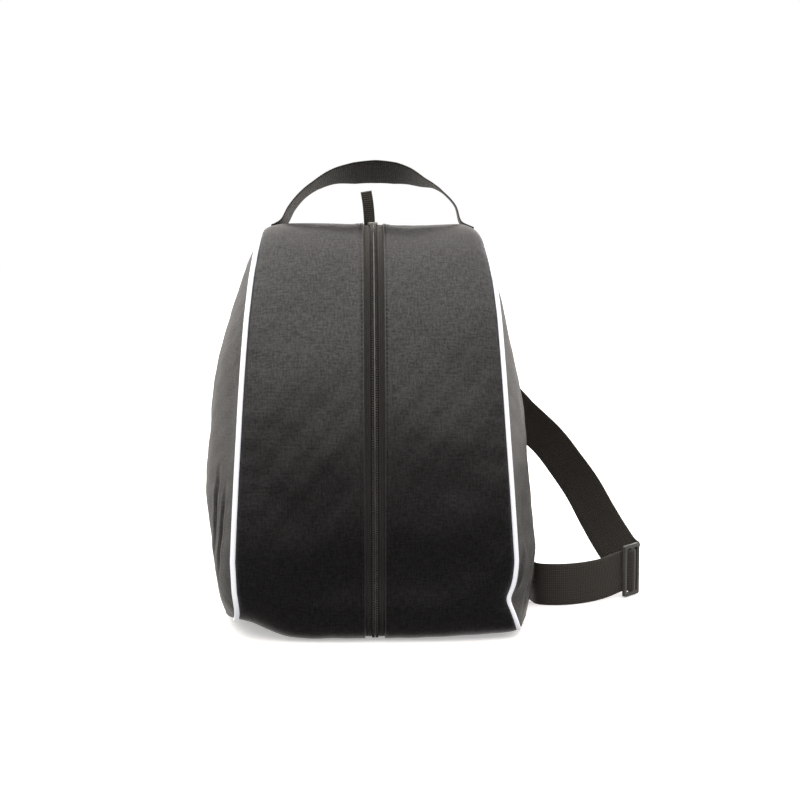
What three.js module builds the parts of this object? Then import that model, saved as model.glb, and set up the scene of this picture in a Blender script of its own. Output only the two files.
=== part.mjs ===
// Helmet bag: a zipped, soft-walled bag for one full-face helmet, standing on its base with the zip in
// front. Millimetres. +X is the wearer's side with the strap, +Y the back panel, +Z up. The origin is the
// middle of the base, on the floor.
//
// The bag is a D-shaped outline in the YZ plane, given a width. A zipped band in two halves runs up the
// front and over the top, the back panel closes it behind, the base below, and two domed side panels fill
// the D. Cord piping covers the seam between the band and each side panel.
import * as THREE from "three";

// Driving sizes of the body
const bodyHeight = 361.5;
const bodyDepth = 258;
const wallThickness = 2;
const seamGap = 0.3;
const seamAllowance = 4; // from a sewn webbing end to the seam beside it
const frontCrown = 12; // how far the middle of the front stands out past its side seams
const topCrown = 7;
const backCrown = 6;
const baseCrown = 6;
const roundedPower = 4.5; // how evenly the front rises from seam to seam: a higher power is flatter
const flatPower = 11;
const toeLength = 26; // how far the front's lower end curves in under the bag
const heelRadius = 21;
const baseBow = 19; // how far the base's side seams bow outwards at mid depth
const baseBowHeight = 110;

// Half the width between the two side seams, by height above the floor
const lowHalfWidth = 119;
const seamWidths = [
  { height: 0.0, width: 0.99 },
  { height: 0.12, width: 1.028 },
  { height: 0.2, width: 1.035 },
  { height: 0.27, width: 1.02 },
  { height: 0.5, width: 0.972 },
  { height: 0.78, width: 0.922 },
  { height: 0.87, width: 0.899 },
  { height: 0.93, width: 0.876 },
  { height: 1.0, width: 0.84 },
];

// The domed side panels: how far each stands out past its seam, the height of its fullest place as a share
// of the body's height, and how fast it falls away from there
const leftDome = { bulge: 34, height: 0.45, power: 1.2 };
const rightDome = { bulge: 25, height: 0.33, power: 1.35 };

// Piping, zip and webbing
const pipingRadius = 2.4;
const zipOpening = 17; // between the folded edges of the two band halves
const tapeWidth = 16;
const tapeThickness = 0.8;
const chainWidth = 6.4;
const chainThickness = 1.5;
const sliderLength = 13;
const sliderWidth = 9.5;
const sliderHeight = 3.4;
const pullWidth = 10.2;
const pullLength = 28;
const pullThickness = 1.2;
const webbingWidth = 40;
const webbingThickness = 1.6;

// Hand loop
const handleSpan = 163; // across the loop
const handleRise = 52; // of its middle line, along the plane of the loop
const handleLean = 6; // degrees back from upright
const handleShift = -3; // how far its middle is off the zip
const handleSeat = 47; // behind the middle of the bag, to the middle of the sewn ends

// Strap hardware
const glideLength = 50; // across the strap
const glideWidth = 26; // along the strap
const glideBar = 3.6;
const glideThickness = 3;
const glideCorner = 2.5;

// Numbers of facets
const frontSteps = 34;
const backSteps = 16;
const baseSteps = 8;
const bandCourses = 7;
const backCourses = 12;
const baseCourses = 12;
const domeRings = 8;
const pipingSides = 8;
const bendWeight = 9; // how much closer together the facets lie where the outline bends

// The D outline of the side seams, from the toe seam under the front, up and over, to the heel and back
// along the base. It stands out furthest at the belly, and turns in from the back panel at the shoulder.
const frontY = -bodyDepth / 2 + frontCrown;
const backY = bodyDepth / 2 - backCrown;
const topZ = bodyHeight - topCrown;
const baseZ = baseCrown;
const bellyZ = bodyHeight * 0.26;
const crestY = bodyDepth * 0.03;
const shoulderZ = bodyHeight * 0.7;
const quarterArc = 0.5523; // handle length of a Bezier curve that follows a quarter of an ellipse

const outline = new THREE.Path();
outline.moveTo(frontY + toeLength, baseZ);
outline.bezierCurveTo(
  frontY + toeLength * 0.3, baseZ,
  frontY, baseZ + bellyZ * 0.22,
  frontY, bellyZ,
);
outline.bezierCurveTo(
  frontY, bellyZ + (topZ - bellyZ) * quarterArc,
  crestY - (crestY - frontY) * quarterArc, topZ,
  crestY, topZ,
);
outline.bezierCurveTo(
  crestY + (backY - crestY) * 0.62, topZ,
  backY, shoulderZ + (topZ - shoulderZ) * 0.6,
  backY, shoulderZ,
);
outline.lineTo(backY, baseZ + heelRadius);
outline.quadraticCurveTo(backY, baseZ, backY - heelRadius, baseZ);
outline.lineTo(frontY + toeLength, baseZ);

const lengths = outline.getCurveLengths();
const outlineLength = lengths[lengths.length - 1];
const shareOf = (length) => length / outlineLength;

// Places along the outline, as shares of its length
const heelAt = shareOf(lengths[4]);
const toeAt = 0;
const handleAt = shareAfterCrest((point) => point.x >= handleSeat);
const topSeamAt = handleAt - shareOf(webbingWidth / 2 + seamAllowance);
const zipTopAt = topSeamAt - shareOf(sliderLength);

// The first share of the outline, past its crest, whose point passes a test
function shareAfterCrest(test) {
  const steps = 500;
  let step = Math.ceil(shareOf(lengths[1]) * steps);
  while (step < steps && !test(outline.getPoint(step / steps))) step += 1;
  return step / steps;
}

// The value of a column of a table of shares, between its rows
function tableValue(rows, key, column, at) {
  if (at <= rows[0][key]) return rows[0][column];
  for (let i = 1; i < rows.length; i += 1) {
    const low = rows[i - 1];
    const high = rows[i];
    if (at <= high[key]) {
      const t = (at - low[key]) / (high[key] - low[key]);
      return THREE.MathUtils.lerp(low[column], high[column], t);
    }
  }
  return rows[rows.length - 1][column];
}

// Half the width between the side seams at a point of the YZ plane
function halfWidth(y, z) {
  const seam = lowHalfWidth * tableValue(seamWidths, "height", "width", z / bodyHeight);
  const middleY = (frontY + backY) / 2;
  const along = THREE.MathUtils.clamp((y - middleY) / ((backY - frontY) / 2), -1, 1);
  const low = 1 - THREE.MathUtils.smoothstep(z, 0, baseBowHeight);
  return seam + baseBow * (1 - along ** 2) * low;
}

// Soft folds and dents, a row for each: where it is, how far it reaches and how far it pushes the cloth,
// all as shares of half the width, half the depth and the height
const folds = [
  { name: "left_toe_lift", at: [-1, -0.85, 0], reach: [0.24, 0.47, 0.094], push: [0.017, 0.016, 0.0332] },
  { name: "left_lean", at: [-1, -0.9, 0.62], reach: [0.59, 1.16, 0.415], push: [-0.021, 0, 0] },
  { name: "right_toe_tuck", at: [1, -0.9, 0.1], reach: [0.2, 0.39, 0.055], push: [-0.034, 0.023, 0] },
  { name: "right_base_spread", at: [1.1, -0.3, 0], reach: [0.34, 0.85, 0.111], push: [0.034, 0, 0] },
  { name: "left_crease", at: [-1.1, -0.1, 0.18], reach: [0.42, 0.47, 0.083], push: [0.042, 0, 0] },
  { name: "left_pinch", at: [-1.1, 0.3, 0.14], reach: [0.42, 0.23, 0.033], push: [0.025, 0, 0] },
  { name: "right_crease", at: [1.1, -0.5, 0.2], reach: [0.34, 0.12, 0.166], push: [-0.021, 0, 0] },
  { name: "front_hollow", at: [0.35, -0.95, 0.3], reach: [0.29, 0.39, 0.166], push: [0, 0.019, 0] },
  { name: "top_dip", at: [0.3, 0.05, 0.98], reach: [0.25, 0.47, 0.083], push: [0, 0, -0.0033] },
  { name: "corner_drop", at: [0.9, 0, 0.98], reach: [0.12, 0.7, 0.111], push: [-0.008, 0, -0.0194] },
];

// A point of the tidy form, moved by the folds
function slump(point) {
  const size = new THREE.Vector3(lowHalfWidth, bodyDepth / 2, bodyHeight);
  const share = point.clone().divide(size);
  const moved = point.clone();
  for (const fold of folds) {
    const away = share.clone().sub(new THREE.Vector3(...fold.at)).divide(new THREE.Vector3(...fold.reach));
    const push = new THREE.Vector3(...fold.push).multiply(size);
    moved.addScaledVector(push, Math.exp(-away.lengthSq()));
  }
  return moved;
}

const wrapShare = (s) => ((s % 1) + 1) % 1;

// The outline's point at a share of its length, with its outward normal, as YZ pairs
function outlineFrame(s) {
  const point = outline.getPoint(wrapShare(s));
  const step = 0.004;
  const ahead = outline.getPoint(wrapShare(s + step));
  const tangent = ahead.sub(outline.getPoint(wrapShare(s - step))).normalize();
  return { point, normal: new THREE.Vector2(-tangent.y, tangent.x) };
}

// A point of the outer skin: s runs along the outline, k from -1 to 1 across between the seams, inset
// below the skin
function skin(s, k, inset) {
  const { point, normal } = outlineFrame(s);
  const backwards = Math.max(0, normal.x) ** 2;
  const downwards = Math.max(0, -normal.y) ** 2;
  const upwards = Math.max(0, normal.y) ** 2;
  const crown = frontCrown + (backCrown - frontCrown) * backwards
    + (baseCrown - frontCrown) * downwards + (topCrown - frontCrown) * upwards;
  const power = roundedPower + (flatPower - roundedPower) * upwards;
  const rise = crown * (1 - Math.abs(k) ** power) - inset;
  return slump(new THREE.Vector3(
    k * halfWidth(point.x, point.y),
    point.x + normal.x * rise,
    point.y + normal.y * rise,
  ));
}

// The share across of a distance from the middle, at a place along the outline
function across(s, x) {
  const { point } = outlineFrame(s);
  return x / halfWidth(point.x, point.y);
}

// Places along the outline, closer together where it bends
function outlineStops(from, to, steps) {
  const samples = 300;
  const efforts = [0];
  let last = outlineFrame(from);
  for (let i = 1; i <= samples; i += 1) {
    const next = outlineFrame(THREE.MathUtils.lerp(from, to, i / samples));
    const bend = Math.acos(THREE.MathUtils.clamp(next.normal.dot(last.normal), -1, 1));
    const length = next.point.distanceTo(last.point) / webbingWidth;
    efforts.push(efforts[i - 1] + length + (bend * bendWeight) / Math.PI);
    last = next;
  }
  const stops = [from];
  let sample = 1;
  for (let step = 1; step < steps; step += 1) {
    const effort = (efforts[samples] * step) / steps;
    while (efforts[sample] < effort) sample += 1;
    const part = (effort - efforts[sample - 1]) / (efforts[sample] - efforts[sample - 1]);
    stops.push(THREE.MathUtils.lerp(from, to, (sample - 1 + part) / samples));
  }
  return [...stops, to];
}

// The shared places: pieces that follow the outline have their facets at the same ones, so their gaps stay
// even
const frontStops = outlineStops(toeAt, topSeamAt, frontSteps);
const backStops = outlineStops(topSeamAt, heelAt, backSteps);
const baseStops = outlineStops(heelAt, 1, baseSteps);
const rimStops = [...frontStops, ...backStops.slice(1), ...baseStops.slice(1)];

// The shared places from one share of the outline to another, both of them kept
function stopsBetween(from, to) {
  const least = 0.002;
  return [from, ...rimStops.filter((stop) => stop > from + least && stop < to - least), to];
}

// A wall with closed edges: a box whose two large faces are moved onto a surface, thickness below it
function sheet(surface, stepsAlong, stepsAcross, thickness) {
  const wall = new THREE.BoxGeometry(1, 1, 1, stepsAlong, stepsAcross, 1);
  const place = wall.attributes.position;
  for (let i = 0; i < place.count; i += 1) {
    const depth = (0.5 - place.getZ(i)) * thickness;
    const at = surface(place.getX(i) + 0.5, place.getY(i) + 0.5, depth);
    place.setXYZ(i, at.x, at.y, at.z);
  }
  wall.computeVertexNormals();
  return wall;
}

// How the rows of facets across a strip are spaced: closer together towards the seams
const toBothSeams = (v) => (1 - Math.cos(Math.PI * v)) / 2;
const toLeftSeam = (v) => Math.sin((Math.PI * v) / 2);
const toRightSeam = (v) => 1 - Math.cos((Math.PI * v) / 2);
const evenly = (v) => v;

// A strip of the skin over some places along the outline, between two distances across it. Seen from
// outside, v runs to the left, which keeps the box's outer face outside.
function skinStrip(stops, fromX, toX, courses, spacing, inset, thickness) {
  const steps = stops.length - 1;
  return sheet(
    (u, v, depth) => {
      const s = stops[Math.round(u * steps)];
      const k = THREE.MathUtils.lerp(across(s, toX(s)), across(s, fromX(s)), spacing(v));
      return skin(s, k, inset + depth);
    },
    steps, courses, thickness,
  );
}

const seamX = (s) => {
  const { point } = outlineFrame(s);
  return halfWidth(point.x, point.y);
};
const pipedEdge = pipingRadius + seamGap;
const domeEdge = pipingRadius + 2 * seamGap;
const endGap = shareOf(seamGap);
const leftOfPiping = (s) => pipedEdge - seamX(s);
const rightOfPiping = (s) => seamX(s) - pipedEdge;

const cloth = { color: 0x1d1d1e, roughness: 0.85, metalness: 0 };
const sideCloth = { color: 0x2a2827, roughness: 0.9, metalness: 0 };
const webbingCloth = { color: 0x1b1a18, roughness: 0.8, metalness: 0 };

const bag = new THREE.Group();

function addPiece(name, geometry, look) {
  const piece = new THREE.Mesh(geometry, new THREE.MeshStandardMaterial(look));
  piece.name = name;
  bag.add(piece);
  return piece;
}

// The zipped band: its left and right halves, from the toe seam up the front and over to the seam behind
// the crest
addPiece(
  "band_left",
  skinStrip(
    frontStops, leftOfPiping, () => -zipOpening / 2,
    bandCourses, toLeftSeam, 0, wallThickness,
  ),
  cloth,
);
addPiece(
  "band_right",
  skinStrip(
    frontStops, () => zipOpening / 2, rightOfPiping,
    bandCourses, toRightSeam, 0, wallThickness,
  ),
  cloth,
);

// The back panel, from the seam behind the crest down to the heel, and the base from the heel to the toe
addPiece(
  "back_panel",
  skinStrip(
    stopsBetween(topSeamAt + endGap, heelAt - endGap), leftOfPiping, rightOfPiping,
    backCourses, toBothSeams, 0, wallThickness,
  ),
  cloth,
);
addPiece(
  "base_panel",
  skinStrip(
    stopsBetween(heelAt, 1 - endGap), (s) => -seamX(s), (s) => seamX(s),
    baseCourses, toBothSeams, 0, wallThickness,
  ),
  cloth,
);

// A domed side panel: a disc turned on the lathe, laid onto the D inside the piping and pushed out as a
// dome

function domePoint(side, r, s) {
  const { point, normal } = outlineFrame(s);
  const rim = point.clone().addScaledVector(normal, -domeEdge);
  const dome = side < 0 ? leftDome : rightDome;
  const at = new THREE.Vector2((frontY + backY) / 2, bodyHeight * dome.height).lerp(rim, r);
  const width = halfWidth(at.x, at.y) + dome.bulge * Math.max(0, 1 - r ** 2) ** dome.power;
  return new THREE.Vector3(side * width, at.x, at.y);
}

function domeNormal(side, r, s) {
  const step = 0.01;
  const inner = Math.max(r, 0.05);
  const outwards = domePoint(side, inner + step, s).sub(domePoint(side, inner - step, s));
  const along = domePoint(side, inner, s + step).sub(domePoint(side, inner, s - step));
  const normal = outwards.cross(along).normalize();
  return normal.x * side < 0 ? normal.negate() : normal;
}

function sidePanel(side) {
  const profile = [new THREE.Vector2(0, 0)];
  for (let ring = 1; ring <= domeRings; ring += 1) profile.push(new THREE.Vector2(ring / domeRings, 0));
  for (let ring = domeRings; ring >= 1; ring -= 1) profile.push(new THREE.Vector2(ring / domeRings, 1));
  profile.push(new THREE.Vector2(0, 1));
  const rimSteps = rimStops.length - 1;
  const panel = new THREE.LatheGeometry(profile, rimSteps);
  const place = panel.attributes.position;
  for (let i = 0; i < place.count; i += 1) {
    const r = Math.hypot(place.getX(i), place.getZ(i));
    // A lathe turns from +Z towards +X. Each of its steps takes the next place along the outline.
    const turn = Math.atan2(place.getX(i), place.getZ(i)) / (2 * Math.PI);
    const step = (Math.round(turn * rimSteps) + rimSteps) % rimSteps;
    const s = rimStops[side < 0 ? step : rimSteps - step];
    const lift = place.getY(i);
    const at = domePoint(side, Math.min(r, 1), s);
    if (lift < 0.5) at.addScaledVector(domeNormal(side, r, s), -wallThickness);
    const moved = slump(at);
    place.setXYZ(i, moved.x, moved.y, moved.z);
  }
  panel.computeVertexNormals();
  return panel;
}

addPiece("side_panel_left", sidePanel(-1), sideCloth);
addPiece("side_panel_right", sidePanel(1), sideCloth);

// Cord piping on each side seam, from the toe seam over the top and down to the heel
const pipedStops = stopsBetween(toeAt + shareOf(pipingRadius), heelAt - shareOf(pipingRadius));

function piping(side) {
  const steps = pipedStops.length - 1;
  const cord = new THREE.CylinderGeometry(pipingRadius, pipingRadius, 1, pipingSides, steps);
  const place = cord.attributes.position;
  for (let i = 0; i < place.count; i += 1) {
    const s = pipedStops[Math.round((place.getY(i) + 0.5) * steps)];
    const { normal } = outlineFrame(s);
    const at = skin(s, side, 0);
    at.x += place.getX(i);
    at.y += normal.x * place.getZ(i);
    at.z += normal.y * place.getZ(i);
    place.setXYZ(i, at.x, at.y, at.z);
  }
  cord.computeVertexNormals();
  return cord;
}

const pipingLook = { color: 0xe8e9ee, roughness: 0.4, metalness: 0 };
addPiece("piping_left", piping(-1), pipingLook);
addPiece("piping_right", piping(1), pipingLook);

// The zip: two tapes under the folded edges of the band, the closed chain on top of them, and the slider
// at its top
const tapeInset = wallThickness + seamGap;
for (const [name, side] of [["zip_tape_left", -1], ["zip_tape_right", 1]]) {
  const near = () => side * (seamGap / 2);
  const far = () => side * tapeWidth;
  addPiece(
    name,
    skinStrip(
      stopsBetween(toeAt + endGap, topSeamAt - endGap), side < 0 ? far : near, side < 0 ? near : far,
      1, evenly, tapeInset, tapeThickness,
    ),
    { color: 0x161614, roughness: 0.7, metalness: 0 },
  );
}
const chainStart = shareOf(chainThickness);
const chainInset = tapeInset - seamGap - chainThickness;
addPiece(
  "zip_chain",
  skinStrip(
    stopsBetween(toeAt + chainStart, zipTopAt - endGap), () => -chainWidth / 2, () => chainWidth / 2,
    2, evenly, chainInset, chainThickness,
  ),
  { color: 0x252522, roughness: 0.35, metalness: 0 },
);

// The place and the turning of a piece that sits on the skin: x across, y up the outline, z outwards
function skinFrame(s, x, rise) {
  const step = 0.003;
  const k = across(s, x);
  const up = skin(s + step, k, 0).sub(skin(s - step, k, 0)).normalize();
  const out = skin(s, k + step, 0).sub(skin(s, k - step, 0)).cross(up).normalize();
  const right = new THREE.Vector3().crossVectors(up, out);
  return { origin: skin(s, k, 0).addScaledVector(out, rise), up, out, right };
}

const sliderAt = zipTopAt + shareOf(sliderLength / 2);
const sliderSeat = skinFrame(sliderAt, 0, -tapeInset + seamGap);

function sliderShape() {
  const half = sliderWidth / 2;
  const shape = new THREE.Shape();
  shape.moveTo(-half * 0.7, -sliderLength / 2);
  shape.lineTo(half * 0.7, -sliderLength / 2);
  shape.lineTo(half, sliderLength * 0.1);
  shape.quadraticCurveTo(half, sliderLength / 2, half * 0.4, sliderLength / 2);
  shape.lineTo(-half * 0.4, sliderLength / 2);
  shape.quadraticCurveTo(-half, sliderLength / 2, -half, sliderLength * 0.1);
  shape.closePath();
  return shape;
}

const slider = addPiece(
  "zip_slider",
  new THREE.ExtrudeGeometry(sliderShape(), { depth: sliderHeight, bevelEnabled: false, curveSegments: 4 }),
  { color: 0x2b2b2a, roughness: 0.35, metalness: 0.8 },
);
slider.position.copy(sliderSeat.origin);
slider.quaternion.setFromRotationMatrix(
  new THREE.Matrix4().makeBasis(sliderSeat.right, sliderSeat.up, sliderSeat.out),
);

// A flat ribbon that follows a smooth curve. Each station holds a point and the direction of the ribbon's
// width.
function ribbon(stations, width, thickness, stepsEach) {
  const line = new THREE.CatmullRomCurve3(stations.map((station) => station.at), false, "centripetal");
  const last = stations.length - 1;
  return sheet(
    (u, v, depth) => {
      const i = Math.min(Math.floor(u * last), last - 1);
      const at = line.getPoint(u);
      const tangent = line.getTangent(u);
      const wide = stations[i].wide.clone().lerp(stations[i + 1].wide, u * last - i);
      wide.addScaledVector(tangent, -wide.dot(tangent)).normalize();
      const face = new THREE.Vector3().crossVectors(tangent, wide);
      return at.addScaledVector(wide, (v - 0.5) * width).addScaledVector(face, thickness / 2 - depth);
    },
    last * stepsEach, 1, thickness,
  );
}

// The pull: a folded tape that stands on the left half of the slider, leaning a little to the left
const pullRise = sliderHeight + seamGap;
const pullFoot = sliderSeat.origin.clone().addScaledVector(sliderSeat.out, pullRise);
const pullStations = [
  { across: -0.105, back: 0, up: 0 },
  { across: -0.125, back: 0.01, up: 0.33 },
  { across: -0.165, back: 0.02, up: 0.67 },
  { across: -0.22, back: 0.04, up: 1 },
].map((row) => ({
  at: pullFoot.clone().add(new THREE.Vector3(row.across, row.back, row.up).multiplyScalar(pullLength)),
  wide: new THREE.Vector3(1, 0, 0.08),
}));
addPiece("zip_pull", ribbon(pullStations, pullWidth, pullThickness, 3), webbingCloth);

// Webbing that lies on the skin: its middle at a share of the outline and a distance across, and its width
// turned by an angle from straight up the outline
const webbingRise = seamGap + webbingThickness / 2;

function sewn(s, x, degrees) {
  const seat = skinFrame(s, x, webbingRise);
  const turn = THREE.MathUtils.degToRad(degrees);
  const wide = seat.up.clone().multiplyScalar(Math.cos(turn)).addScaledVector(seat.right, Math.sin(turn));
  return { at: seat.origin, wide };
}

// The hand loop: sewn down at both ends behind the crest and nearly upright between them. Its width runs
// from front to back, and `twist` and `drop` are how far the back edge is turned to the right and down. It is
// seen almost edge-on in the legs and leans over at the top.
const handleStations = [
  { across: -1.04, rise: 0.02, twist: 0.07, drop: 0.24 },
  { across: -0.97, rise: 0.1, twist: 0.11, drop: 0.16 },
  { across: -0.884, rise: 0.34, twist: 0.12, drop: 0.12 },
  { across: -0.763, rise: 0.565, twist: 0.11, drop: 0.14 },
  { across: -0.614, rise: 0.74, twist: 0.1, drop: 0.2 },
  { across: -0.402, rise: 0.9, twist: 0.1, drop: 0.36 },
  { across: -0.167, rise: 0.96, twist: 0.06, drop: 0.57 },
  { across: 0.08, rise: 0.99, twist: 0.01, drop: 0.63 },
  { across: 0.298, rise: 0.968, twist: -0.05, drop: 0.57 },
  { across: 0.447, rise: 0.92, twist: -0.09, drop: 0.41 },
  { across: 0.613, rise: 0.81, twist: -0.05, drop: 0.22 },
  { across: 0.74, rise: 0.735, twist: 0, drop: 0.09 },
  { across: 0.854, rise: 0.61, twist: 0.03, drop: 0.03 },
  { across: 0.986, rise: 0.38, twist: 0.04, drop: 0.04 },
  { across: 1.043, rise: 0.1, twist: 0.03, drop: 0.1 },
  { across: 1.1, rise: 0.02, twist: 0.03, drop: 0.22 },
];

function handlePath() {
  const lean = THREE.MathUtils.degToRad(handleLean);
  const upwards = new THREE.Vector3(0, Math.sin(lean), Math.cos(lean));
  const loop = handleStations.map((row) => {
    const seat = sewn(handleAt, handleShift + (row.across * handleSpan) / 2, 0);
    return {
      at: seat.at.clone().addScaledVector(upwards, row.rise * handleRise),
      wide: new THREE.Vector3(row.twist, 1, -row.drop),
    };
  });
  const end = handleSpan * 0.6;
  return [sewn(handleAt, -end, 0), ...loop, sewn(handleAt, end, 0)];
}
addPiece("hand_loop", ribbon(handlePath(), webbingWidth, webbingThickness, 4), webbingCloth);

// The glide of the shoulder strap: a flat frame with three bars, standing on its end beside the bag
const glideClearance = 1.2; // above the floor
const glidePlace = new THREE.Vector3(lowHalfWidth * 2.096, bodyDepth * 0.252, glideLength / 2 + glideClearance);
const glideTurn = THREE.MathUtils.degToRad(50);
const glideAlong = new THREE.Vector3(Math.cos(glideTurn), Math.sin(glideTurn), 0);
const glideUp = new THREE.Vector3(0, 0, 1);
const glideOut = new THREE.Vector3().crossVectors(glideAlong, glideUp);

function glideShape() {
  const shape = new THREE.Shape();
  roundedBox(shape, 0, glideWidth, glideLength, glideCorner);
  const slotWidth = (glideWidth - 3 * glideBar) / 2;
  const slotLength = glideLength - 2 * glideBar;
  for (const side of [-1, 1]) {
    const slot = new THREE.Path();
    roundedBox(slot, (side * (slotWidth + glideBar)) / 2, slotWidth, slotLength, glideCorner / 4);
    shape.holes.push(slot);
  }
  return shape;
}

function roundedBox(path, middle, width, height, corner) {
  const left = middle - width / 2;
  const right = middle + width / 2;
  const top = height / 2;
  path.moveTo(left + corner, -top);
  path.lineTo(right - corner, -top);
  path.quadraticCurveTo(right, -top, right, -top + corner);
  path.lineTo(right, top - corner);
  path.quadraticCurveTo(right, top, right - corner, top);
  path.lineTo(left + corner, top);
  path.quadraticCurveTo(left, top, left, top - corner);
  path.lineTo(left, -top + corner);
  path.quadraticCurveTo(left, -top, left + corner, -top);
}

const glideForm = new THREE.ExtrudeGeometry(glideShape(), {
  depth: glideThickness,
  bevelEnabled: false,
  curveSegments: 3,
});
glideForm.translate(0, 0, -glideThickness / 2);
const glide = addPiece("strap_slider", glideForm, { color: 0x8f8f90, roughness: 0.25, metalness: 0.1 });
glide.position.copy(glidePlace);
glide.quaternion.setFromRotationMatrix(new THREE.Matrix4().makeBasis(glideAlong, glideUp, glideOut));

// The shoulder strap: sewn on the back, out past the right side, round behind the glide, through it and
// back along the floor to the lower back. The stations of its free stretches are in shares: x of half the
// body's width, y of its depth, and z of the body's height above the glide's middle for the upper run. The
// lower run stands on its edge, so its z is in shares of the webbing's width.
const upperRun = [
  { x: 1.002, y: 0.5051, z: 0.4675, wide: [0.68, -0.1, 0.7] },
  { x: 1.23, y: 0.5072, z: 0.3955, wide: [0.62, -0.4, 0.62] },
  { x: 1.47, y: 0.4904, z: 0.3215, wide: [0.64, -0.45, 0.6] },
  { x: 1.604, y: 0.4708, z: 0.2645, wide: [0.68, -0.45, 0.55] },
  { x: 1.744, y: 0.4484, z: 0.1985, wide: [0.74, -0.4, 0.52] },
  { x: 1.862, y: 0.4203, z: 0.1275, wide: [0.78, -0.35, 0.5] },
  { x: 1.965, y: 0.3965, z: 0.0695, wide: [0.75, -0.25, 0.6] },
  { x: 2.054, y: 0.3755, z: 0.0275, wide: [0.6, -0.15, 0.75] },
  { x: 2.117, y: 0.3587, z: 0.0125, wide: [0.4, -0.05, 0.9] },
  { x: 2.154, y: 0.3335, z: 0.0055, wide: [0.1, 0, 1] },
];
const lowerRun = [
  { x: 1.838, y: 0.1653, z: 0.56, wide: [0, 0, 1] },
  { x: 1.653, y: 0.1205, z: 0.52, wide: [0, 0, 1] },
  { x: 1.467, y: 0.0981, z: 0.515, wide: [0, 0, 1] },
  { x: 1.309, y: 0.1163, z: 0.515, wide: [0, 0, 1] },
  { x: 1.261, y: 0.1822, z: 0.533, wide: [0, 0, 1] },
  { x: 1.224, y: 0.2802, z: 0.596, wide: [0, 0, 1] },
  { x: 1.17, y: 0.3923, z: 0.741, wide: [0, 0, 1] },
  { x: 1.081, y: 0.496, z: 0.949, wide: [0, 0, 1] },
];
const glideWeave = glideThickness / 2 + webbingThickness / 2 + seamGap + 0.15;
const throughGlide = [
  { along: 0.56, out: -1.8 },
  { along: 0.44, out: -1.1 },
  { along: 0.34, out: -0.9 },
  { along: 0.09, out: 1 },
  { along: -0.09, out: 1 },
  { along: -0.34, out: -0.9 },
  { along: -0.44, out: -1.1 },
  { along: -0.56, out: -1.2 },
].map((row) => ({
  at: glidePlace.clone()
    .addScaledVector(glideAlong, row.along * glideWidth)
    .addScaledVector(glideOut, row.out * glideWeave),
  wide: glideUp,
}));

const freeStation = (height, start) => (row) => ({
  at: new THREE.Vector3(row.x * lowHalfWidth, row.y * bodyDepth, start + row.z * height),
  wide: new THREE.Vector3(...row.wide),
});
const backAt = (height) => shareAfterCrest((point) => point.y <= height * bodyHeight);
const strapPath = [
  sewn(backAt(0.79), webbingWidth * 0.3, 135),
  sewn(backAt(0.75), webbingWidth * 0.75, 135),
  sewn(backAt(0.71), webbingWidth * 1.2, 135),
  sewn(backAt(0.67), webbingWidth * 1.65, 135),
  sewn(backAt(0.63), webbingWidth * 2.1, 135),
  ...upperRun.map(freeStation(bodyHeight, glidePlace.z)),
  ...throughGlide,
  ...lowerRun.map(freeStation(webbingWidth, 0)),
  sewn(backAt(0.135), webbingWidth * 2.35, 180),
  sewn(backAt(0.15), webbingWidth * 1.7, 180),
  sewn(backAt(0.16), webbingWidth * 1.1, 180),
];
addPiece("shoulder_strap", ribbon(strapPath, webbingWidth, webbingThickness, 3), webbingCloth);

export default bag;
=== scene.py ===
"""Helmet bag: a zipped, soft-walled bag for one full-face motorcycle helmet.

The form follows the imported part: a D outline in the YZ plane, given a width. Lengths are in millimetres
up to the point where a mesh is made, and patterns are scaled from real sizes. +X is the strap's side, +Y
the back, +Z up.
"""

import math

import bmesh
import bpy
import numpy as np
from bpy.props import FloatProperty, FloatVectorProperty, PointerProperty
from mathutils import Matrix, Vector


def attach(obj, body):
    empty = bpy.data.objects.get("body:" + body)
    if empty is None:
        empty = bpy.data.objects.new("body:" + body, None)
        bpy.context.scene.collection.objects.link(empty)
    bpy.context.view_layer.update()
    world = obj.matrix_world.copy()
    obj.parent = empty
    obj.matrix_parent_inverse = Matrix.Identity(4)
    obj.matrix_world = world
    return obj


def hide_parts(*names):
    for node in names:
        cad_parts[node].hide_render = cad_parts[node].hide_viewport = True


bl_info = {
    "name": "Helmet bag",
    "version": (1, 0, 0),
    "blender": (4, 5, 0),
    "location": "View3D > Sidebar > Helmet bag",
    "description": "Builds a zipped helmet bag piece by piece around its packed part",
    "category": "Add Mesh",
}

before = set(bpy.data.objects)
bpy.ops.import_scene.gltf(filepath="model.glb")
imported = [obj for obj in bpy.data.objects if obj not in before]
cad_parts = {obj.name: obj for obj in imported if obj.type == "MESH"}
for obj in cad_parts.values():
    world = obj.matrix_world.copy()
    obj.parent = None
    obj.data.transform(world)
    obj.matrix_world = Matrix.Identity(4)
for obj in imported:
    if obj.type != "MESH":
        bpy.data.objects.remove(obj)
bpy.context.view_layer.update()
BODY = "root"
MM = 0.001
SIDES = (("left", -1), ("right", 1))  # each with its direction along X

# The body, as in the part's source
BODY_HEIGHT = 361.5
BODY_DEPTH = 258.0
WALL = 2.0
SEAM_GAP = 0.3
SEAM_ALLOWANCE = 4.0
FRONT_CROWN = 12.0
TOP_CROWN = 7.0
BACK_CROWN = 6.0
BASE_CROWN = 6.0
ROUNDED_POWER = 4.5
FLAT_POWER = 11.0
TOE_LENGTH = 26.0
HEEL_RADIUS = 21.0
BASE_BOW = 19.0
BASE_BOW_HEIGHT = 110.0
LOW_HALF_WIDTH = 119.0

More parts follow.
